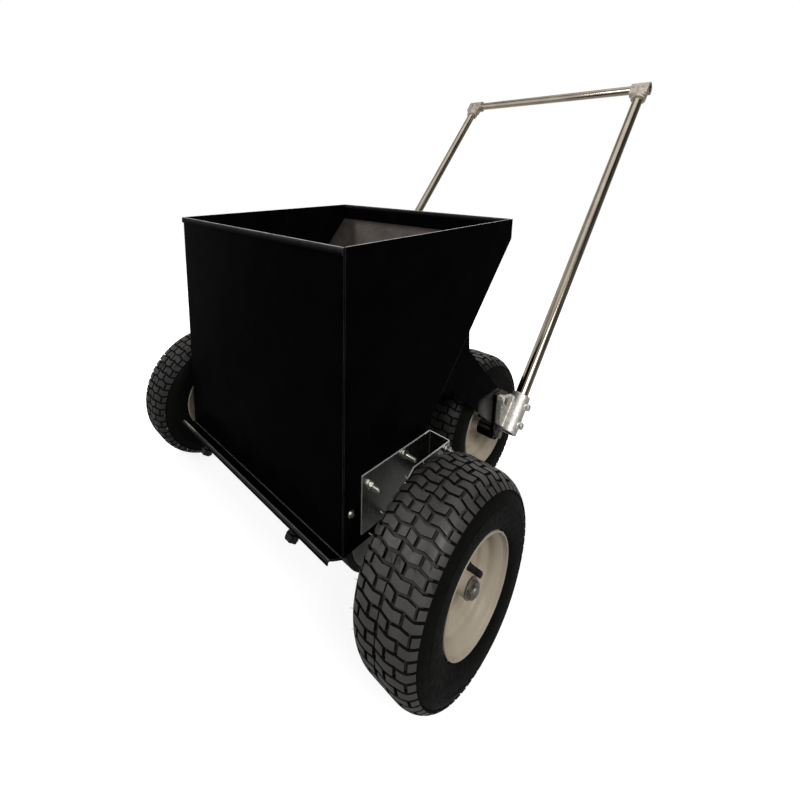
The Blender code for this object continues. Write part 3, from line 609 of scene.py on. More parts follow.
# Carries a point from the flat tread (across, along, height) onto the tyre.
def ontoTyre(flat):
    across, along, height = flat
    along += zigzagAt(across)
    over = max(0.0, abs(across) - wheel["crownHalf"])
    lean = over / wheel["shoulder"]
    reach = wheel["shoulder"] + height
    radius = tyreRadius - wheel["shoulder"] + reach * cos(lean)
    sideways = copysign(min(abs(across), wheel["crownHalf"]) + reach * sin(lean), across)
    angle = along / tyreRadius + radians(wheel["rowPhase"])
    return frontTyre + Vector((sideways, -radius * sin(angle), radius * cos(angle)))


def makeTread():
    tread = startEmpty()
    rowStep = pi * tyreRadius / wheel["pitches"]
    depth = wheel["blockDepth"] + 0.001
    for first, last, row in treadBlocks:
        for side in (1, -1):
            columns = max(2, round((last - first) / 0.0052))
            bpy.ops.mesh.primitive_grid_add(x_subdivisions=columns, y_subdivisions=1, size=1)
            bpy.ops.transform.resize(value=(last - first, wheel["blockLength"], 1), center_override=(0, 0, 0))
            bpy.ops.transform.translate(value=(side * (first + last) / 2, row * rowStep, 0))
            bpy.ops.mesh.extrude_region_move(TRANSFORM_OT_translate={"value": (0, 0, -depth)})
    closeUp(weld=False)
    # the column nearest a kink of the zigzag moves onto it
    ends = [end for block in treadBlocks for end in block[:2]]
    for vertex in tread.data.vertices:
        across = abs(vertex.co.x)
        for kink in [wheel["zigzagWave"] * n / 2 for n in (1, 2, 3)]:
            if abs(across - kink) < 0.0026 and not any(abs(across - end) < 1e-5 for end in ends):
                vertex.co.x = copysign(kink, vertex.co.x)
    # only the edges round the top of a block are rounded over
    editAll(tread)
    bpy.ops.mesh.select_mode(type="EDGE")
    bpy.ops.mesh.select_all(action="DESELECT")
    leaveEdit()
    mesh = tread.data
    walls = {}
    for face in mesh.polygons:
        for key in face.edge_keys:
            walls.setdefault(key, []).append(abs(face.normal.z) < 0.5)
    for edge in mesh.edges:
        top = all(abs(mesh.vertices[i].co.z) < 1e-6 for i in edge.vertices)
        edge.select = top and any(walls[edge.key])
    bpy.ops.object.mode_set(mode="EDIT")
    bpy.ops.mesh.bevel(offset=wheel["roundOver"], segments=2, affect="EDGES")
    leaveEdit()
    for vertex in mesh.vertices:
        vertex.co = ontoTyre(vertex.co)
    editAll(tread)
    bpy.ops.mesh.normals_make_consistent(inside=False)
    bpy.ops.mesh.spin(steps=wheel["pitches"], angle=2 * pi, dupli=True, center=frontTyre, axis=axisX)
    leaveEdit()
    return tread


def makeCarcass():
    floorReach = wheel["shoulder"] - wheel["blockDepth"]
    wall = [
        (0.0765, 0.032), (0.0765, 0.038), (0.0792, 0.041), (0.0842, 0.0446), (0.0868, 0.0476),
        (0.0893, 0.049), (0.0898, 0.0508), (0.0915, 0.0526), (0.095, 0.0545), (0.1, 0.0562), (0.106, 0.0574),
        (0.112, 0.0581), (0.119, 0.0583), (0.1262, 0.058), (0.1268, 0.0584), (0.1276, 0.0584),
        (0.1282, 0.0578), (0.133, 0.0569), (0.138, 0.0554), (0.1425, 0.0533), (0.1462, 0.0506),
    ]
    for lean in (50, 40, 30, 20, 10, 0):
        turn = radians(lean)
        wall.append((tyreRadius - wheel["shoulder"] + floorReach * cos(turn),
                     wheel["crownHalf"] + floorReach * sin(turn)))
    inner = [(0.15, 0.019), (0.128, 0.048), (0.085, 0.039)]
    profile = wall + [(r, -s) for r, s in reversed(wall)]
    profile += [(r, -s) for r, s in reversed(inner)] + inner
    scaled = [(r, s * tyreHalf / 0.0585) for r, s in profile]
    piece = turnPiece(scaled, frontTyre, steps=wheel["carcassSteps"])
    # the crown between the blocks is dust-coloured and painted as light as the block tops, a painted light
    # against the shade in the grooves
    useFinishes(piece, finish["tyre_rubber"], grooveDustAndLiftFinish)
    for face in piece.data.polygons:
        off = face.center - frontTyre
        if hypot(off.y, off.z) > wheel["floorStart"]:
            face.material_index = 1
    return piece


# Thin rubber hairs left by the mould's vents, round the sidewalls and shoulders.
def makeHairs():
    hairs = {"count": 20, "length": 0.007, "radius": 0.0005}
    piece = startEmpty()
    for i in range(hairs["count"]):
        angle = 2 * pi * (i + random.uniform(-0.3, 0.3)) / hairs["count"]
        out = Vector((0, -sin(angle), cos(angle)))
        for radius, sideways, up in (
                (0.09, 0.05, axisX * 0.35 - out), (0.148, -0.0515, axisX * -0.6 + out * 0.6)):
            up = up.normalized()
            base = frontTyre + axisX * sideways + out * radius
            tilt = up.to_track_quat("Z", "Y").to_euler()
            bpy.ops.mesh.primitive_cone_add(
                vertices=4, radius1=hairs["radius"], radius2=hairs["radius"] * 0.5, depth=hairs["length"],
                location=base + up * hairs["length"] * 0.4, rotation=tilt)
    leaveEdit()
    return piece


rim = {"edge": 0.0532, "disc": 0.0135, "hubRadius": 0.0165, "hubOuter": 0.038, "hubInner": 0.03}


def rimProfile(bore):
    e, disc = rim["edge"], rim["disc"]
    face = [
        (0.088, e - 0.0046), (0.0886, e - 0.0034), (0.0886, e - 0.0012), (0.0881, e - 0.0003), (0.0872, e),
        (0.0862, e - 0.0002), (0.0856, e - 0.001), (0.0851, e - 0.003), (0.0846, e - 0.0062),
        (0.0836, e - 0.0074), (0.0816, e - 0.0086), (0.0786, e - 0.0108), (0.076, e - 0.0136),
        (0.0742, e - 0.017), (0.0734, 0.033), (0.0732, 0.03), (0.0722, 0.0276), (0.069, 0.0252),
        (0.064, 0.0228), (0.0619, 0.0208), (0.0611, 0.018), (0.0606, 0.0156), (0.059, 0.0141),
        (0.057, disc), (0.044, disc + 0.0001), (0.032, disc),
        (0.026, disc + 0.0006), (0.0222, disc + 0.005), (0.019, disc + 0.0086), (0.017, disc + 0.01),
        (rim["hubRadius"], disc + 0.0112), (rim["hubRadius"], rim["hubOuter"]), (bore, rim["hubOuter"]),
    ]
    back = [
        (bore, -rim["hubInner"]), (rim["hubRadius"], -rim["hubInner"]), (rim["hubRadius"], disc - 0.003),
        (0.058, disc - 0.003), (0.0606, 0.008), (0.061, 0.0), (0.061, -0.02), (0.0625, -0.0235),
        (0.07, -0.028), (0.0732, -0.031), (0.0734, -0.036), (0.076, 0.0136 - e), (0.0816, 0.0086 - e),
        (0.0846, 0.0062 - e), (0.0856, 0.001 - e), (0.0872, -e), (0.0886, 0.0012 - e), (0.0886, 0.0034 - e),
        (0.0866, 0.004 - e), (0.084, 0.0075 - e), (0.079, 0.011 - e), (0.0762, 0.014 - e), (0.0762, -0.03),
        (0.064, -0.022), (0.064, 0.022), (0.0762, 0.03), (0.0762, e - 0.014),
        (0.079, e - 0.011), (0.084, e - 0.0075),
        (0.0866, e - 0.0044),
    ]
    return face + back


def wheelPieces(stem, rimBore, tyre):
    centre = centreOf(stem + "_tyre_left")
    turned = turnPiece(rimProfile(rimBore), centre, steps=wheel["rimSteps"])
    stemBox = centreOf(stem + "_valve_left")
    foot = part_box(stem + "_valve_left")[0][0] - 0.0006
    length = sizeOf(stem + "_valve_left").x
    stemProfile = [
        (0, 0), (0.0085, 0), (0.0088, 0.0012), (0.0076, 0.0026), (0.0062, 0.0042), (0.0057, 0.007),
        (0.0055, length * 0.62), (0.0052, length * 0.66), (0.0051, length * 0.68), (0.0053, length * 0.7),
        (0.0054, length * 0.74), (0.0054, length * 0.93), (0.005, length * 0.98), (0.0042, length),
        (0, length),
    ]
    valve = turnPiece(stemProfile, Vector((foot, stemBox.y, stemBox.z)), steps=24)
    bodies = ("drive", "drive") if stem == "front" else ("rear_wheel_left", "rear_wheel_right")
    finishPair(turned, stem + "_rim", "cream_paint", bodies, smooth=32)
    finishPair(tyre, stem + "_tyre", "tyre_rubber", bodies, smooth=32, even=True)
    finishPair(valve, stem + "_valve", "soft_rubber", bodies, smooth=40)


# The sides of the blocks are painted dark, a painted shade for the grooves; the dust lies on their tops.
def shadeBlockWalls(tread):
    useFinishes(tread, treadFinish, blockWallShadeFinish)
    middle = tyreRadius - wheel["shoulder"]
    for face in tread.data.polygons:
        off = face.center - frontTyre
        radius = hypot(off.y, off.z)
        over = max(0.0, abs(off.x) - wheel["crownHalf"])
        rise = (radius - middle) / radius
        out = Vector((copysign(over, off.x), off.y * rise, off.z * rise)).normalized()
        if face.normal.dot(out) < wheel["wallShadeLean"]:
            face.material_index = 1


# The tyres in the hopper's shade get darker rubber: a painted shade.
def shadeTyre(tyre):
    shadeFor = {treadFinish: shadedTreadFinish, grooveDustAndLiftFinish: shadedGrooveFinish}
    for i, used in enumerate(tyre.data.materials):
        tyre.data.materials[i] = shadeFor.get(used, used)


def makeTyre():
    tread = makeTread()
    shadeBlockWalls(tread)
    carcass = makeCarcass()
    print("tread faces:", len(tread.data.polygons))
    return joinPieces(carcass, [tread, makeHairs()])


tyrePiece = makeTyre()
rearTyre = duplicatePiece(tyrePiece, shift=centreOf("rear_tyre_left") - frontTyre)
shadeTyre(rearTyre)
wheelPieces("front", wheel["frontBore"], tyrePiece)
shadeTyre(bpy.data.objects["frontTyreRight"])
wheelPieces("rear", wheel["rearBore"], rearTyre)
print("wheels done")


# Fasteners

fastener = {
    "pitch": 0.00125, "threadDepth": 0.0006, "flat": 0.88, "washerRadius": 0.0085, "washerSheet": 0.0012,
    "shank": 0.004, "nutRadius": 0.0075, "nutHeight": 0.0065,
}


def shankProfile(radius, start, tip):
    profile = [(0, start), (radius, start)]
    count = int(abs(tip - start) / fastener["pitch"]) - 1
    way = copysign(1, tip - start)
    for i in range(count):
        at = start + way * (i + 0.5) * fastener["pitch"]
        profile.append((radius, at))
        profile.append((radius - fastener["threadDepth"], at + way * fastener["pitch"] / 2))
    profile += [(radius - fastener["threadDepth"] * 1.3, tip), (0, tip)]
    return profile


# A hexagonal nut or head, its corners turned off on both faces.
def makeHexagon(centre, axis, radius, height, bore=0.0):
    axis = Vector(axis).normalized()
    turn = axis.to_track_quat("Z", "Y").to_euler()
    onlySelect()
    bpy.ops.mesh.primitive_cylinder_add(
        vertices=6, radius=radius, depth=height, location=Vector(centre) + axis * height / 2, rotation=turn)
    nut = settleNew()
    low = radius * fastener["flat"]
    rise = (radius - low) * 0.55
    profile = [(0, 0), (low, 0), (radius, rise), (radius, height - rise), (low, height), (0, height)]
    cutOrJoin(nut, [turnPiece(profile, centre, axis, 36)], "INTERSECT")
    if bore:
        profile = [(0, -0.001), (bore, -0.001), (bore, height + 0.001), (0, height + 0.001)]
        cutOrJoin(nut, [turnPiece(profile, centre, axis, 24)])
    return nut


# A bolt with a domed head inside, and its washer and nut outside.
def makeThroughBolt(node, headFace, nutFace):
    low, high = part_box(node)
    middle = centreOf(node)
    onAxis = Vector((0, middle.y, middle.z))
    radius, wide = fastener["shank"], fastener["washerRadius"]
    shank = turnPiece(shankProfile(radius, headFace - 0.001, high[0]), onAxis, steps=24)
    head = turnPiece([
        (0, low[0]), (0.0035, low[0] + 0.0002), (0.0062, low[0] + 0.0009), (0.0082, low[0] + 0.0021),
        (0.0088, headFace - 0.0002), (0.0086, headFace), (0, headFace)], onAxis, steps=32)
    end = nutFace + fastener["washerSheet"]
    ring = turnPiece([(radius, nutFace), (wide, nutFace), (wide, end), (radius, end)], onAxis, steps=32)
    nutHeight = fastener["nutHeight"] - fastener["washerSheet"]
    nut = makeHexagon(onAxis + axisX * end, axisX, fastener["nutRadius"], nutHeight)
    return joinPieces(shank, [head, ring, nut])


# Hopper

hopper = {
    "sheet": 0.003, "gap": 0.0003, "hem": 0.012, "rearBand": 0.042, "slope": 48.2,
    "lipReach": 0.032, "lipSlope": 29.7, "lipReturn": 0.01, "tailY": 0.2, "roundOver": 0.0008,
}
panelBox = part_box("hopper_side_left")
sheet = hopper["sheet"]
gap = hopper["gap"]
half = panelBox[1][0]
frontY = panelBox[0][1] - sheet - gap
topZ = panelBox[1][2]
depth = panelBox[1][1] - frontY
sideFoot = panelBox[0][2]
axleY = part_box("front_tyre_left")[0][1] + tyreRadius - frontY
axleZ = tyreRadius
slopeY = cos(radians(hopper["slope"]))
slopeZ = sin(radians(hopper["slope"]))
lipY = cos(radians(hopper["lipSlope"]))
lipZ = sin(radians(hopper["lipSlope"]))
slopeTop = (depth, topZ - hopper["rearBand"])


def slopePoint(distance, inward=0.0):
    y, z = slopeTop
    return (y - distance * slopeY - inward * slopeZ, z - distance * slopeZ + inward * slopeY)


def acrossSheet(outline, x):
    return [Vector((x, frontY + p[0], p[1])) for p in outline]


# The path of a sheet whose top edge is rolled over by a hem, toward one way.
def hemmedPath(middle, way):
    fold = (sheet + gap) / 2
    foldZ = topZ - sheet / 2
    hemY = middle + way * 2 * fold
    return [(hemY, topZ - hopper["hem"]), (hemY, foldZ, fold), (middle, foldZ, fold)]


def finishSheet(node, path, reach):
    piece = extrudeOutline(acrossSheet(sheetOutline(path, sheet), -reach), (2 * reach, 0, 0))
    finishPiece(piece, node, "black_coat", "frame", roundOver=hopper["roundOver"])


def makeFrontSheet():
    middle = sheet / 2
    cornerZ = axleZ - 0.0004 - middle / lipY - middle * lipZ / lipY
    endY = -hopper["lipReach"] + middle
    endZ = cornerZ + (middle - endY) * lipZ / lipY
    path = [(middle, cornerZ, sheet), (endY, endZ, sheet), (endY, endZ + middle - hopper["lipReturn"])]
    finishSheet("hopper_front", hemmedPath(middle, -1) + path, half)


def makeRearSheet():
    middle = depth - sheet / 2
    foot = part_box("hopper_rear")[0][2]
    bend = slopeTop[1] + sheet / 2 * tan(radians((90 - hopper["slope"]) / 2))
    reach = (slopeTop[1] - foot) / slopeZ - sheet * slopeY / slopeZ * 0.5
    path = [(middle, bend, 2 * sheet), slopePoint(reach, sheet / 2)]
    finishSheet("hopper_rear", hemmedPath(middle, 1) + path, half - sheet - gap)


def makeSidePanels():
    # round the axle, cut with the bearing's clearance
    notch = 0.0145
    lift = degrees(asin((axleZ - sideFoot) / notch))
    arc = []
    for i in range(15):
        angle = radians(180 + lift - i * (180 + 2 * lift) / 14)
        arc.append((axleY + notch * cos(angle), axleZ + notch * sin(angle)))
    outline = [
        (sheet + gap, sideFoot), *arc, (hopper["tailY"], sideFoot),
        slopePoint((depth - hopper["tailY"]) / slopeY), slopeTop, (depth, topZ), (sheet + gap, topZ),
    ]
    piece = extrudeOutline(acrossSheet(outline, half - sheet), (sheet, 0, 0))
    finishPair(piece, "hopper_side", "black_coat", "frame", roundOver=hopper["roundOver"])


# Welds along two inner seams of the hopper, and a short bead at the end of the front hem.
def makeWelds():
    weld = {"radius": 0.0022, "ripple": 0.00035, "step": 0.0024}
    seams = [
        acrossSheet([(sheet, topZ - 0.03), (sheet, axleZ + 0.09)], half - sheet),
        acrossSheet([(slopeTop[0] - sheet, slopeTop[1]), slopePoint(0.36, sheet)], half - sheet - gap),
    ]
    beads = []
    for start, end in seams:
        length = (end - start).length
        count = int(length / weld["step"])
        profile = [(0, 0)]
        for i in range(1, count):
            ripple = weld["ripple"] if i % 2 else -weld["ripple"]
            profile.append((weld["radius"] + ripple, length * i / count))
        profile.append((0, length))
        beads.append(turnPiece(profile, start, end - start, 10))
    hemEnd = Vector((half - 0.0012, frontY - sheet / 2, 0))
    beads.append(turnPiece([
        (0, 0), (0.0014, 0.0006), (0.0019, 0.0022), (0.0016, 0.0038), (0.0021, 0.0054), (0.0017, 0.007),
        (0.002, 0.0086), (0.0012, 0.0102), (0, 0.0108),
    ], hemEnd + Vector((0, 0, topZ - 0.0112)), Vector((0, 0, 1)), 12))
    piece = joinPieces(beads[0], beads[1:])
    finishPair(piece, "seam_weld", "black_coat", "frame", smooth=60)


makeFrontSheet()
makeRearSheet()
makeSidePanels()
makeWelds()
print("hopper done")


# Gate knobs

knob = {"lobes": 6, "lobe": 0.09, "steps": 96, "radius": 0.0115, "length": 0.0255}


def makeKnob(side):
    node = f"gate_knob_{side}"
    away = Vector((0, -lipZ, -lipY))
    along = Vector((0, -lipY, lipZ))
    start = centreOf(node) - away * knob["length"] / 2
    radius = knob["radius"]
    profile = [
        (0.0043, 0.0003), (0.0066, 0.0), (0.0075, 0.0006), (0.0075, 0.0108), (0.0078, 0.0122),
        (0.0094, 0.0126), (radius, 0.0136), (radius, 0.015), (radius, 0.0218), (radius * 0.975, 0.0235),
        (radius * 0.9, 0.0247), (radius * 0.74, 0.0254), (0.0052, 0.0255), (0.0046, 0.0251), (0.0043, 0.0243),
    ]
    piece = turnPiece(profile, start, away, knob["steps"])
    for vertex in piece.data.vertices:
        off = vertex.co - start
        height = off.dot(away)
        flat = off - away * height
        weight = min(1.0, max(0.0, (height - 0.0118) / 0.002)) * min(1.0, flat.length / radius)
        angle = atan2(flat.dot(along), flat.x)
        swell = 1 + knob["lobe"] * weight * cos(knob["lobes"] * angle)
        vertex.co = start + away * height + flat * swell
    finishPiece(piece, node, "black_plastic", f"knob_{side}", "knob" + side.title(), smooth=40)


for side in ("left", "right"):
    makeKnob(side)


# Metering drum, its axle and end discs

drum = {
    "radius": 0.088, "bore": 0.07, "ends": 0.0012, "discRadius": 0.076, "steps": 96,
    "axle": 0.0125, "axleEnd": 0.008, "washerRadius": 0.0171, "washer": 0.003,
    "nut": 0.0139, "nutBore": 0.0078,
}
drumCentre = Vector((0, frontY + axleY, axleZ))


# An axle whose two ends are stepped down and threaded.
def stepAxle(radius, endRadius, shoulder, tip, centre, steps):
    stud = shankProfile(endRadius, shoulder, tip)[1:]
    profile = [(0, -tip)] + [(r, -s) for r, s in reversed(stud[:-1])]
    return turnPiece(profile + [(radius, -shoulder), (radius, shoulder)] + stud, centre, steps=steps)


# A plain tube or disc between two distances along the axis.
def makeRing(inner, outer, start, end, centre, steps):
    return turnPiece([(inner, start), (outer, start), (outer, end), (inner, end)], centre, steps=steps)


def makeDrum():
    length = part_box("drum_roller")[1][0]
    ends, r = drum["ends"], drum["radius"]
    roller = turnPiece([
        (drum["bore"], -length), (r - ends, -length), (r - 0.0003, ends * 0.4 - length), (r, ends - length),
        (r, length - ends), (r - 0.0003, length - ends * 0.4), (r - ends, length), (drum["bore"], length),
    ], drumCentre, steps=drum["steps"])
    finishPiece(roller, "drum_roller", "soft_rubber", "drive", smooth=32)
    low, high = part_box("drum_disc_left")
    disc = makeRing(wheel["frontBore"], drum["discRadius"], low[0], high[0], drumCentre, drum["steps"])
    finishPair(disc, "drum_disc", "grey_steel", "drive", roundOver=0.0006)
    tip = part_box("drive_axle")[1][0]
    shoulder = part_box("front_axle_nut_left")[0][0] - 0.002
    axle = stepAxle(drum["axle"], drum["axleEnd"], shoulder, tip, drumCentre, 40)
    finishPiece(axle, "drive_axle", "grey_steel", "drive", smooth=40)


def makeFrontNuts():
    low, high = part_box("front_axle_nut_left")
    wide, end = drum["washerRadius"], low[0] + drum["washer"]
    ring = turnPiece([
        (0.0083, low[0]), (wide - 0.0006, low[0]), (wide, low[0] + 0.0005), (wide, end - 0.0005),
        (wide - 0.0006, end), (0.0083, end)], drumCentre, steps=64)
    nut = makeHexagon(drumCentre + axisX * end, axisX, drum["nut"], high[0] - end, drum["nutBore"])
    piece = joinPieces(ring, [nut])
    useFinishes(piece, nutFinish)
    finishPair(piece, "front_axle_nut", "zinc_bolt", "drive", roundOver=0.0003, smooth=35)


makeDrum()
makeFrontNuts()
print("drum done")


# Drive brackets with their bearings and bolts

bracket = {
    "sheet": 0.0025, "frontY": 0.041, "rearY": 0.224, "bend": 0.003, "innerRise": 0.0166, "cornerCut": 0.02,
    "topCut": (0.077, 0.066), "roundOver": 0.0005,
}


def makeBox(low, high):
    onlySelect()
    bpy.ops.mesh.primitive_cube_add(size=1, location=(Vector(low) + Vector(high)) / 2)
    bpy.context.object.scale = Vector(high) - Vector(low)
    return settleNew()


def makeBrackets():
    low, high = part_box("drive_bracket_left")
    t = bracket["sheet"]
    innerX, outerX = low[0] + t / 2, high[0] - t / 2
    crossY = bracket["rearY"] - t / 2
    path = [
        (innerX, bracket["frontY"]), (innerX, crossY, bracket["bend"]), (outerX, crossY, bracket["bend"]),
        (outerX, bracket["frontY"]),
    ]
    outline = [Vector((p[0], frontY + p[1], low[2])) for p in sheetOutline(path, t)]
    piece = extrudeOutline(outline, (0, 0, high[2] - low[2]))
    foot = axleZ + bracket["innerRise"]
    start = frontY + bracket["frontY"]
    cut = bracket["cornerCut"]
    cutY, cutZ = bracket["topCut"]
    outer, through = outerX - 2 * t, 4 * t
    corner = [(start + cut, low[2]), (start, low[2] + cut), (start - 0.01, low[2] + cut + 0.01),
              (start - 0.01, low[2] - 0.01), (start + cut + 0.01, low[2] - 0.01)]
    top = [(start + cutY * 1.2, high[2] + cutZ * 0.2), (start - cutY * 0.2, high[2] + cutZ * 0.2),
           (start - cutY * 0.2, high[2] - cutZ * 1.2)]
    cutOrJoin(piece, [
        makeBox((low[0] - 0.01, start - 0.01, low[2] - 0.01), (outer, high[1] + 0.01, foot)),
        *[extrudeOutline([Vector((outer, y, z)) for y, z in points], (through, 0, 0))
          for points in (corner, top)],
        makeRing(0, wheel["frontBore"], outer, outer + through, drumCentre, 40),
    ])
    # the sheared edges are the faces a sheet's thickness wide that look up, down or forward, painted bright
    # as a painted highlight
    useFinishes(piece, finish["zinc_sheet"], edgeHighlightFinish, shadeZincFinish)
    # painted shade: the web's inner face, inside the U, is painted dark
    for face in piece.data.polygons:
        face.material_index = 0
        if abs(face.normal.x) < 0.3 and (abs(face.normal.z) > 0.3 or face.normal.y < -0.9):
            atEdge = face.center.y - start < 0.001 or abs(face.normal.z) > 0.3
            face.material_index = 1 if atEdge else 2
    finishPair(piece, "drive_bracket", "zinc_sheet", "frame", roundOver=bracket["roundOver"])


def makeBearings():
    low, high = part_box("front_bearing_left")
    face, end, bore = low[0], high[0], wheel["frontBore"]
    profile = [
        (bore, face), (0.0334, face), (0.034, face + 0.0006), (0.034, face + 0.0024), (0.0334, face + 0.003),
        (0.0262, face + 0.003), (0.0248, face + 0.0036), (0.024, face + 0.0048), (0.0238, end - 0.0034),
        (0.0226, end - 0.0018), (0.0205, end - 0.0012), (0.02, end - 0.002), (0.0172, end - 0.002),
        (0.0168, end - 0.0004), (0.0164, end), (bore, end),
    ]
    piece = turnPiece(profile, drumCentre, steps=64)
    finishPair(piece, "front_bearing", "grey_steel", "frame", smooth=32)


def makeBracketBolts():
    panelFaces = (half - sheet - gap, half + 2 * gap + bracket["sheet"])
    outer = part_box("drive_bracket_left")[1][0]
    cornerFaces = (outer - bracket["sheet"] - gap, outer + gap)
    for which, faces in (("front", panelFaces), ("middle", panelFaces), ("corner", cornerFaces)):
        bolt = makeThroughBolt(f"bracket_bolt_{which}_left", *faces)
        finishPair(bolt, f"bracket_bolt_{which}", "zinc_bolt", "frame", smooth=35)
    # the single screw in the side panel, ahead of the bracket
    screw = {"y": 0.018, "z": 0.233, "radius": 0.0045, "height": 0.0032}
    seat = Vector((half - 0.0002, frontY + screw["y"], screw["z"]))
    head = makeHexagon(seat + axisX * 0.001, axisX, screw["radius"], screw["height"])
    ring = makeRing(0, 0.0066, 0, 0.0011, seat, 32)
    finishPair(joinPieces(head, [ring]), "panel_screw", "zinc_bolt", "frame", roundOver=0.0002, smooth=35)


makeBrackets()
makeBearings()
makeBracketBolts()
print("brackets done")


# Rear arms, clamp plates and the rear axle

arm = {
    "topY": 0.348, "lowY": 0.2574, "shoulder": (0.352, 0.2396), "upper": (0.47, 0.1276),
    "knee": (0.29, 0.1776), "tabHalf": 0.0158, "tabTurn": 20.0, "endRise": 0.0966, "endY": 0.536,
    "plateRise": 0.1006, "footRise": 0.0326, "roundOver": 0.0007, "axle": 0.0095, "axleEnd": 0.006,
    "centreSpacer": 0.014, "spacer": 0.017, "nut": 0.0104, "nutBore": 0.0058,
}
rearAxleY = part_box("rear_tyre_left")[0][1] + tyreRadius - frontY
rearCentre = Vector((0, frontY + rearAxleY, axleZ))


def finishArmPlate(node, outline, inner):
    piece = extrudeOutline(acrossSheet(roundCorners(outline), inner), (sheet, 0, 0))
    finishPair(piece, node, "black_coat", "frame", roundOver=arm["roundOver"])


def makeArms():
    topEdge = slopePoint((depth - arm["topY"]) / slopeY + gap / slopeZ, -gap)
    lowEdge = slopePoint((depth - arm["lowY"]) / slopeY, -gap)
    tab = []
    for i in range(19):
        angle = radians(180 + i * (180 + arm["tabTurn"]) / 18)
        tab.append((rearAxleY + arm["tabHalf"] * cos(angle), axleZ + arm["tabHalf"] * sin(angle)))
    front = rearAxleY - arm["tabHalf"]
    tab.append((arm["endY"], axleZ + arm["endRise"] - 0.012, 0.006))
    finishArmPlate("rear_arm", [
        topEdge, lowEdge, (arm["knee"][0], axleZ + arm["knee"][1], 0.012),
        (front, axleZ + arm["footRise"] - 2 * sheet, 0.006), *tab,
        (arm["endY"] - 0.03, axleZ + arm["endRise"], 0.006), (arm["upper"][0], axleZ + arm["upper"][1], 0.01),
        (arm["shoulder"][0], axleZ + arm["shoulder"][1], 0.008),
    ], half - sheet)
    finishArmPlate("clamp_plate", [
        *tab, (arm["endY"] - 0.03, axleZ + arm["plateRise"], 0.006), (front, axleZ + arm["plateRise"], 0.002),
    ], half + gap)


def makeRearAxle():
    bore = wheel["rearBore"]
    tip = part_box("rear_axle")[1][0]
    axle = stepAxle(arm["axle"], arm["axleEnd"], half - sheet - gap, tip, rearCentre, 32)
    finishPiece(axle, "rear_axle", "grey_steel", "frame", smooth=40)
    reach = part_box("rear_spacer_centre")[1][0]
    tube = makeRing(bore, arm["centreSpacer"], -reach, reach, rearCentre, 40)
    finishPiece(tube, "rear_spacer_centre", "grey_steel", "frame", roundOver=0.0005)
    low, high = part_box("rear_spacer_left")
    tube = makeRing(bore, arm["spacer"], low[0], high[0], rearCentre, 48)
    finishPair(tube, "rear_spacer", "black_coat", "frame", roundOver=0.0006)
    low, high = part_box("rear_axle_nut_left")
    nut = makeHexagon(rearCentre + axisX * low[0], axisX, arm["nut"], high[0] - low[0], arm["nutBore"])
    useFinishes(nut, nutFinish)
    finishPair(nut, "rear_axle_nut", "zinc_bolt", "frame", roundOver=0.0003, smooth=35)


makeArms()
makeRearAxle()
print("rear axle done")


# Handle: posts, crossbar, elbows and clamps

handle = {
    "lean": 42.65, "height": 1.0029, "setBack": 0.0023, "spread": 0.2784, "tubeRadius": 0.01345,
    "wall": 0.002, "socket": 0.02, "elbowIn": 0.0274, "elbowOut": 0.0223, "elbowLeg": 0.048,
    "elbowScrews": (-0.0185, 0.0065), "elbowScrewDrop": 0.01, "elbowScrewHole": 0.0036,
    "elbowWeb": 0.0135, "endRound": 0.0006, "castGrain": 0.001,
}
postUp = Vector((0, sin(radians(handle["lean"])), cos(radians(handle["lean"]))))
postAcross = Vector((0, postUp.z, -postUp.y))
postX = handle["spread"]
postFoot = Vector((postX, rearCentre.y - handle["setBack"], axleZ))
barDistance = (handle["height"] - axleZ) / postUp.z
barCentre = Vector((0, postFoot.y + postUp.y * barDistance, handle["height"]))


def onPost(along, side=0.0, forward=0.0):
    return postFoot + postUp * along + axisX * side - postAcross * forward


def tubeProfile(low, high):
    outer, e = handle["tubeRadius"], handle["endRound"]
    inner = outer - handle["wall"]
    return [
        (inner, low), (outer - e, low), (outer, low + e),
        (outer, high - e), (outer - e, high), (inner, high),
    ]


def makeRod(start, end, radius, steps=40, taper=0.0):
    way = Vector(end) - Vector(start)
    profile = [(0, 0), (radius, 0), (radius - taper, way.length), (0, way.length)]
    return turnPiece(profile, start, way, steps)


# A sand casting: its parts are fused, softened and thinned.
def castTogether(first, others):
    cutOrJoin(first, others, "UNION")
    applyModifier(first, "cast", "REMESH", mode="VOXEL", voxel_size=handle["castGrain"])
    applyModifier(first, "soften", "SMOOTH", factor=0.6, iterations=14)
    applyModifier(first, "thin", "DECIMATE", ratio=0.35)


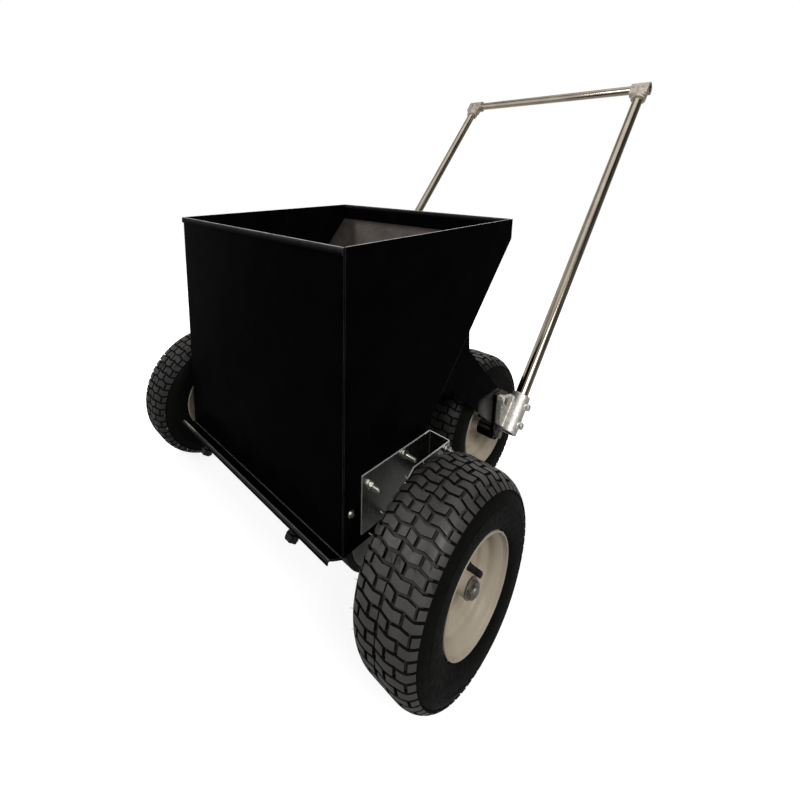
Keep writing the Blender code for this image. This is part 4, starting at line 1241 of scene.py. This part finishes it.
def makeElbow():
    inner, outer = postX - handle["elbowIn"], postX + handle["elbowOut"]
    body = makeRod(barCentre + axisX * (inner + 0.0004), barCentre + axisX * (outer - 0.0004),
                   handle["socket"] - 0.0002)
    leg = makeRod(onPost(barDistance - handle["elbowLeg"]), onPost(barDistance), handle["socket"] - 0.0004)
    webEnds = onPost(barDistance - 0.034, -0.012), onPost(barDistance - 0.004, -0.012)
    web = makeRod(*webEnds, handle["elbowWeb"])
    face = [(-0.034, 0.0), (-0.034, -0.0186), (0.0075, -0.0186), (0.0075, 0.0)]
    corners = [Vector((inner + 0.001, p.y, p.z)) for p in [
        onPost(barDistance + up) + postAcross * across for up, across in face]]
    block = extrudeOutline(corners, (outer - inner - 0.002, 0, 0))
    castTogether(body, [leg, web, block])
    useFinishes(body, elbowFinish)
    bore = handle["tubeRadius"] + gap
    screwAlong = barDistance - handle["elbowScrewDrop"]
    cutOrJoin(body, [
        makeRod(barCentre + axisX * (inner - 0.01), barCentre + axisX * (outer + 0.01), bore),
        makeRod(onPost(barDistance - handle["elbowLeg"] - 0.01), onPost(barDistance - 0.012), bore),
        *[makeRod(onPost(screwAlong, at), onPost(screwAlong, at, 0.03), handle["elbowScrewHole"])
          for at in handle["elbowScrews"]],
    ])
    finishPair(body, "handle_elbow", "cast_alloy", "handle", smooth=38)


def makeTubes():
    reach = postX + handle["elbowOut"] - 0.002
    bar = turnPiece(tubeProfile(-reach, reach), barCentre, steps=64)
    finishPiece(bar, "handle_crossbar", "stainless", "handle", smooth=35)
    top = barDistance - handle["tubeRadius"] - gap - 0.0015
    post = turnPiece(tubeProfile(0.0134, top), postFoot, postUp, 64)
    finishPair(post, "handle_post", "stainless", "handle", smooth=35)


clamp = {
    "low": 0.0124, "high": 0.1055, "palmFrontY": 0.476, "palmRise": 0.099, "palmNotch": 0.013,
    "palmFootRise": 0.0326, "palm": 0.0135, "palmInset": 0.003, "bossRadius": 0.0112, "boss": 0.019,
    "boltY": 0.4835, "boltRise": 0.0881, "capRadius": 0.0068, "capDepth": 0.007, "capRoom": 0.0014,
    "screwBoss": 0.008, "screwReach": 0.007, "screws": (0.0375, 0.0824), "screwHole": 0.0034,
    "key": 0.0034, "nutHeight": 0.0065, "shank": 0.004,
}


def makeClamp():
    inner = half + 2 * gap + sheet
    low, high = clamp["low"], clamp["high"]
    socket = makeRod(onPost(low + 0.0003), onPost(high - 0.0003), handle["socket"] - 0.0002)
    inset = clamp["palmInset"]
    frontEdge = frontY + clamp["palmFrontY"]
    corners = [
        onPost(low + inset) + postAcross * inset, onPost(high - inset) + postAcross * inset,
        onPost(high - clamp["palmNotch"]) + postAcross * (inset - handle["socket"]),
    ]
    outline = [
        Vector((inner, frontEdge, axleZ + clamp["palmFootRise"])),
        *[Vector((inner, p.y, p.z)) for p in corners],
        Vector((inner, frontEdge, axleZ + clamp["palmRise"])),
    ]
    palm = extrudeOutline(outline, (clamp["palm"], 0, 0))
    boltAt = Vector((0, frontY + clamp["boltY"], axleZ + clamp["boltRise"]))
    top = inner + clamp["boss"]
    boss = makeRod(boltAt + axisX * (inner + 0.002), boltAt + axisX * top, clamp["bossRadius"], taper=0.0004)
    reach = handle["socket"] + clamp["screwReach"]
    bosses = [makeRod(onPost(at), onPost(at, reach), clamp["screwBoss"]) for at in clamp["screws"]]
    castTogether(socket, [palm, boss, *bosses])
    room = clamp["capRadius"] + clamp["capRoom"]
    cutOrJoin(socket, [
        makeRod(boltAt + axisX * (top - clamp["capDepth"]), boltAt + axisX * (top + 0.01), room),
        *[makeRod(onPost(at), onPost(at, reach + 0.01), clamp["screwHole"]) for at in clamp["screws"]],
        makeRod(onPost(low - 0.01), onPost(high + 0.01), handle["tubeRadius"] + gap),
    ])
    # the cap screw's hole is painted dark, a painted shade, and the palm face is rougher and painted darker
    # than the socket, a painted shade
    useFinishes(socket, finish["cast_alloy"], shadeZincFinish, palmShadeFinish)
    for face in socket.data.polygons:
        off = face.center - boltAt
        if hypot(off.y, off.z) < room + 0.0002 and inner + 0.002 < face.center.x < top - 0.0008:
            face.material_index = 1
        elif face.normal.x > 0.93 and abs(face.center.x - inner - clamp["palm"]) < 0.0009:
            face.material_index = 2
    finishPair(socket, "handle_clamp", "cast_alloy", "frame", smooth=38)
    # the socket cap screw and its nut inside the arm
    seat = top - clamp["capDepth"] + gap
    head = makeRod(boltAt + axisX * seat, boltAt + axisX * (top - 0.0008), clamp["capRadius"])
    cutOrJoin(head, [makeHexagon(boltAt + axisX * (top - 0.0045), axisX, clamp["key"], 0.006)])
    innerFace = boltAt + axisX * (half - sheet - gap)
    nut = makeHexagon(innerFace, -axisX, clamp["capRadius"], clamp["nutHeight"])
    shank = makeRod(innerFace, boltAt + axisX * seat, clamp["shank"], 24)
    useFinishes(head, nutFinish)
    bolt = joinPieces(head, [nut, shank])
    finishPair(bolt, "clamp_bolt", "zinc_bolt", "frame", roundOver=0.0003, smooth=35)


# Socket set screws: one is made, then copied to each hole.
def makeSetScrews():
    radius, length, key = 0.0033, 0.006, 0.0019
    profile = [(0, 0), (radius, 0), (radius, length - 0.0005), (radius - 0.0005, length), (0, length)]
    screw = turnPiece(profile, Vector((0, 0, 0)), axisX, 24)
    cutOrJoin(screw, [makeHexagon(axisX * (length - 0.0025), axisX, key, 0.004)])
    clampEnd = handle["socket"] + clamp["screwReach"] - 0.0012 - length
    for at in clamp["screws"]:
        copy = duplicatePiece(screw, shift=onPost(at, clampEnd))
        finishPair(copy, f"clamp_screw{round(at * 1e4)}", "zinc_bolt", "frame", smooth=35)
    turn = axisX.rotation_difference(-postAcross).to_matrix().to_4x4()
    for count, at in enumerate(handle["elbowScrews"]):
        copy = duplicatePiece(screw)
        place = onPost(barDistance - handle["elbowScrewDrop"], at, 0.012)
        copy.data.transform(Matrix.Translation(place) @ turn)
        finishPair(copy, f"elbow_screw{count}", "zinc_bolt", "handle", smooth=35)
    bpy.data.objects.remove(screw, do_unlink=True)


makeTubes()
makeElbow()
makeClamp()
makeSetScrews()
print("handle done")

# The nodes that stay as they are get the real finish.
for node in ("gate_plate", "gate_stud_left", "gate_stud_right", "drum_wiper"):
    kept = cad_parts[node]
    slot = {"gate_plate": "zinc_sheet", "drum_wiper": "soft_rubber"}.get(node, "zinc_bolt")
    for holder in kept.material_slots:
        holder.material = finish[slot]
print("kept nodes finished")
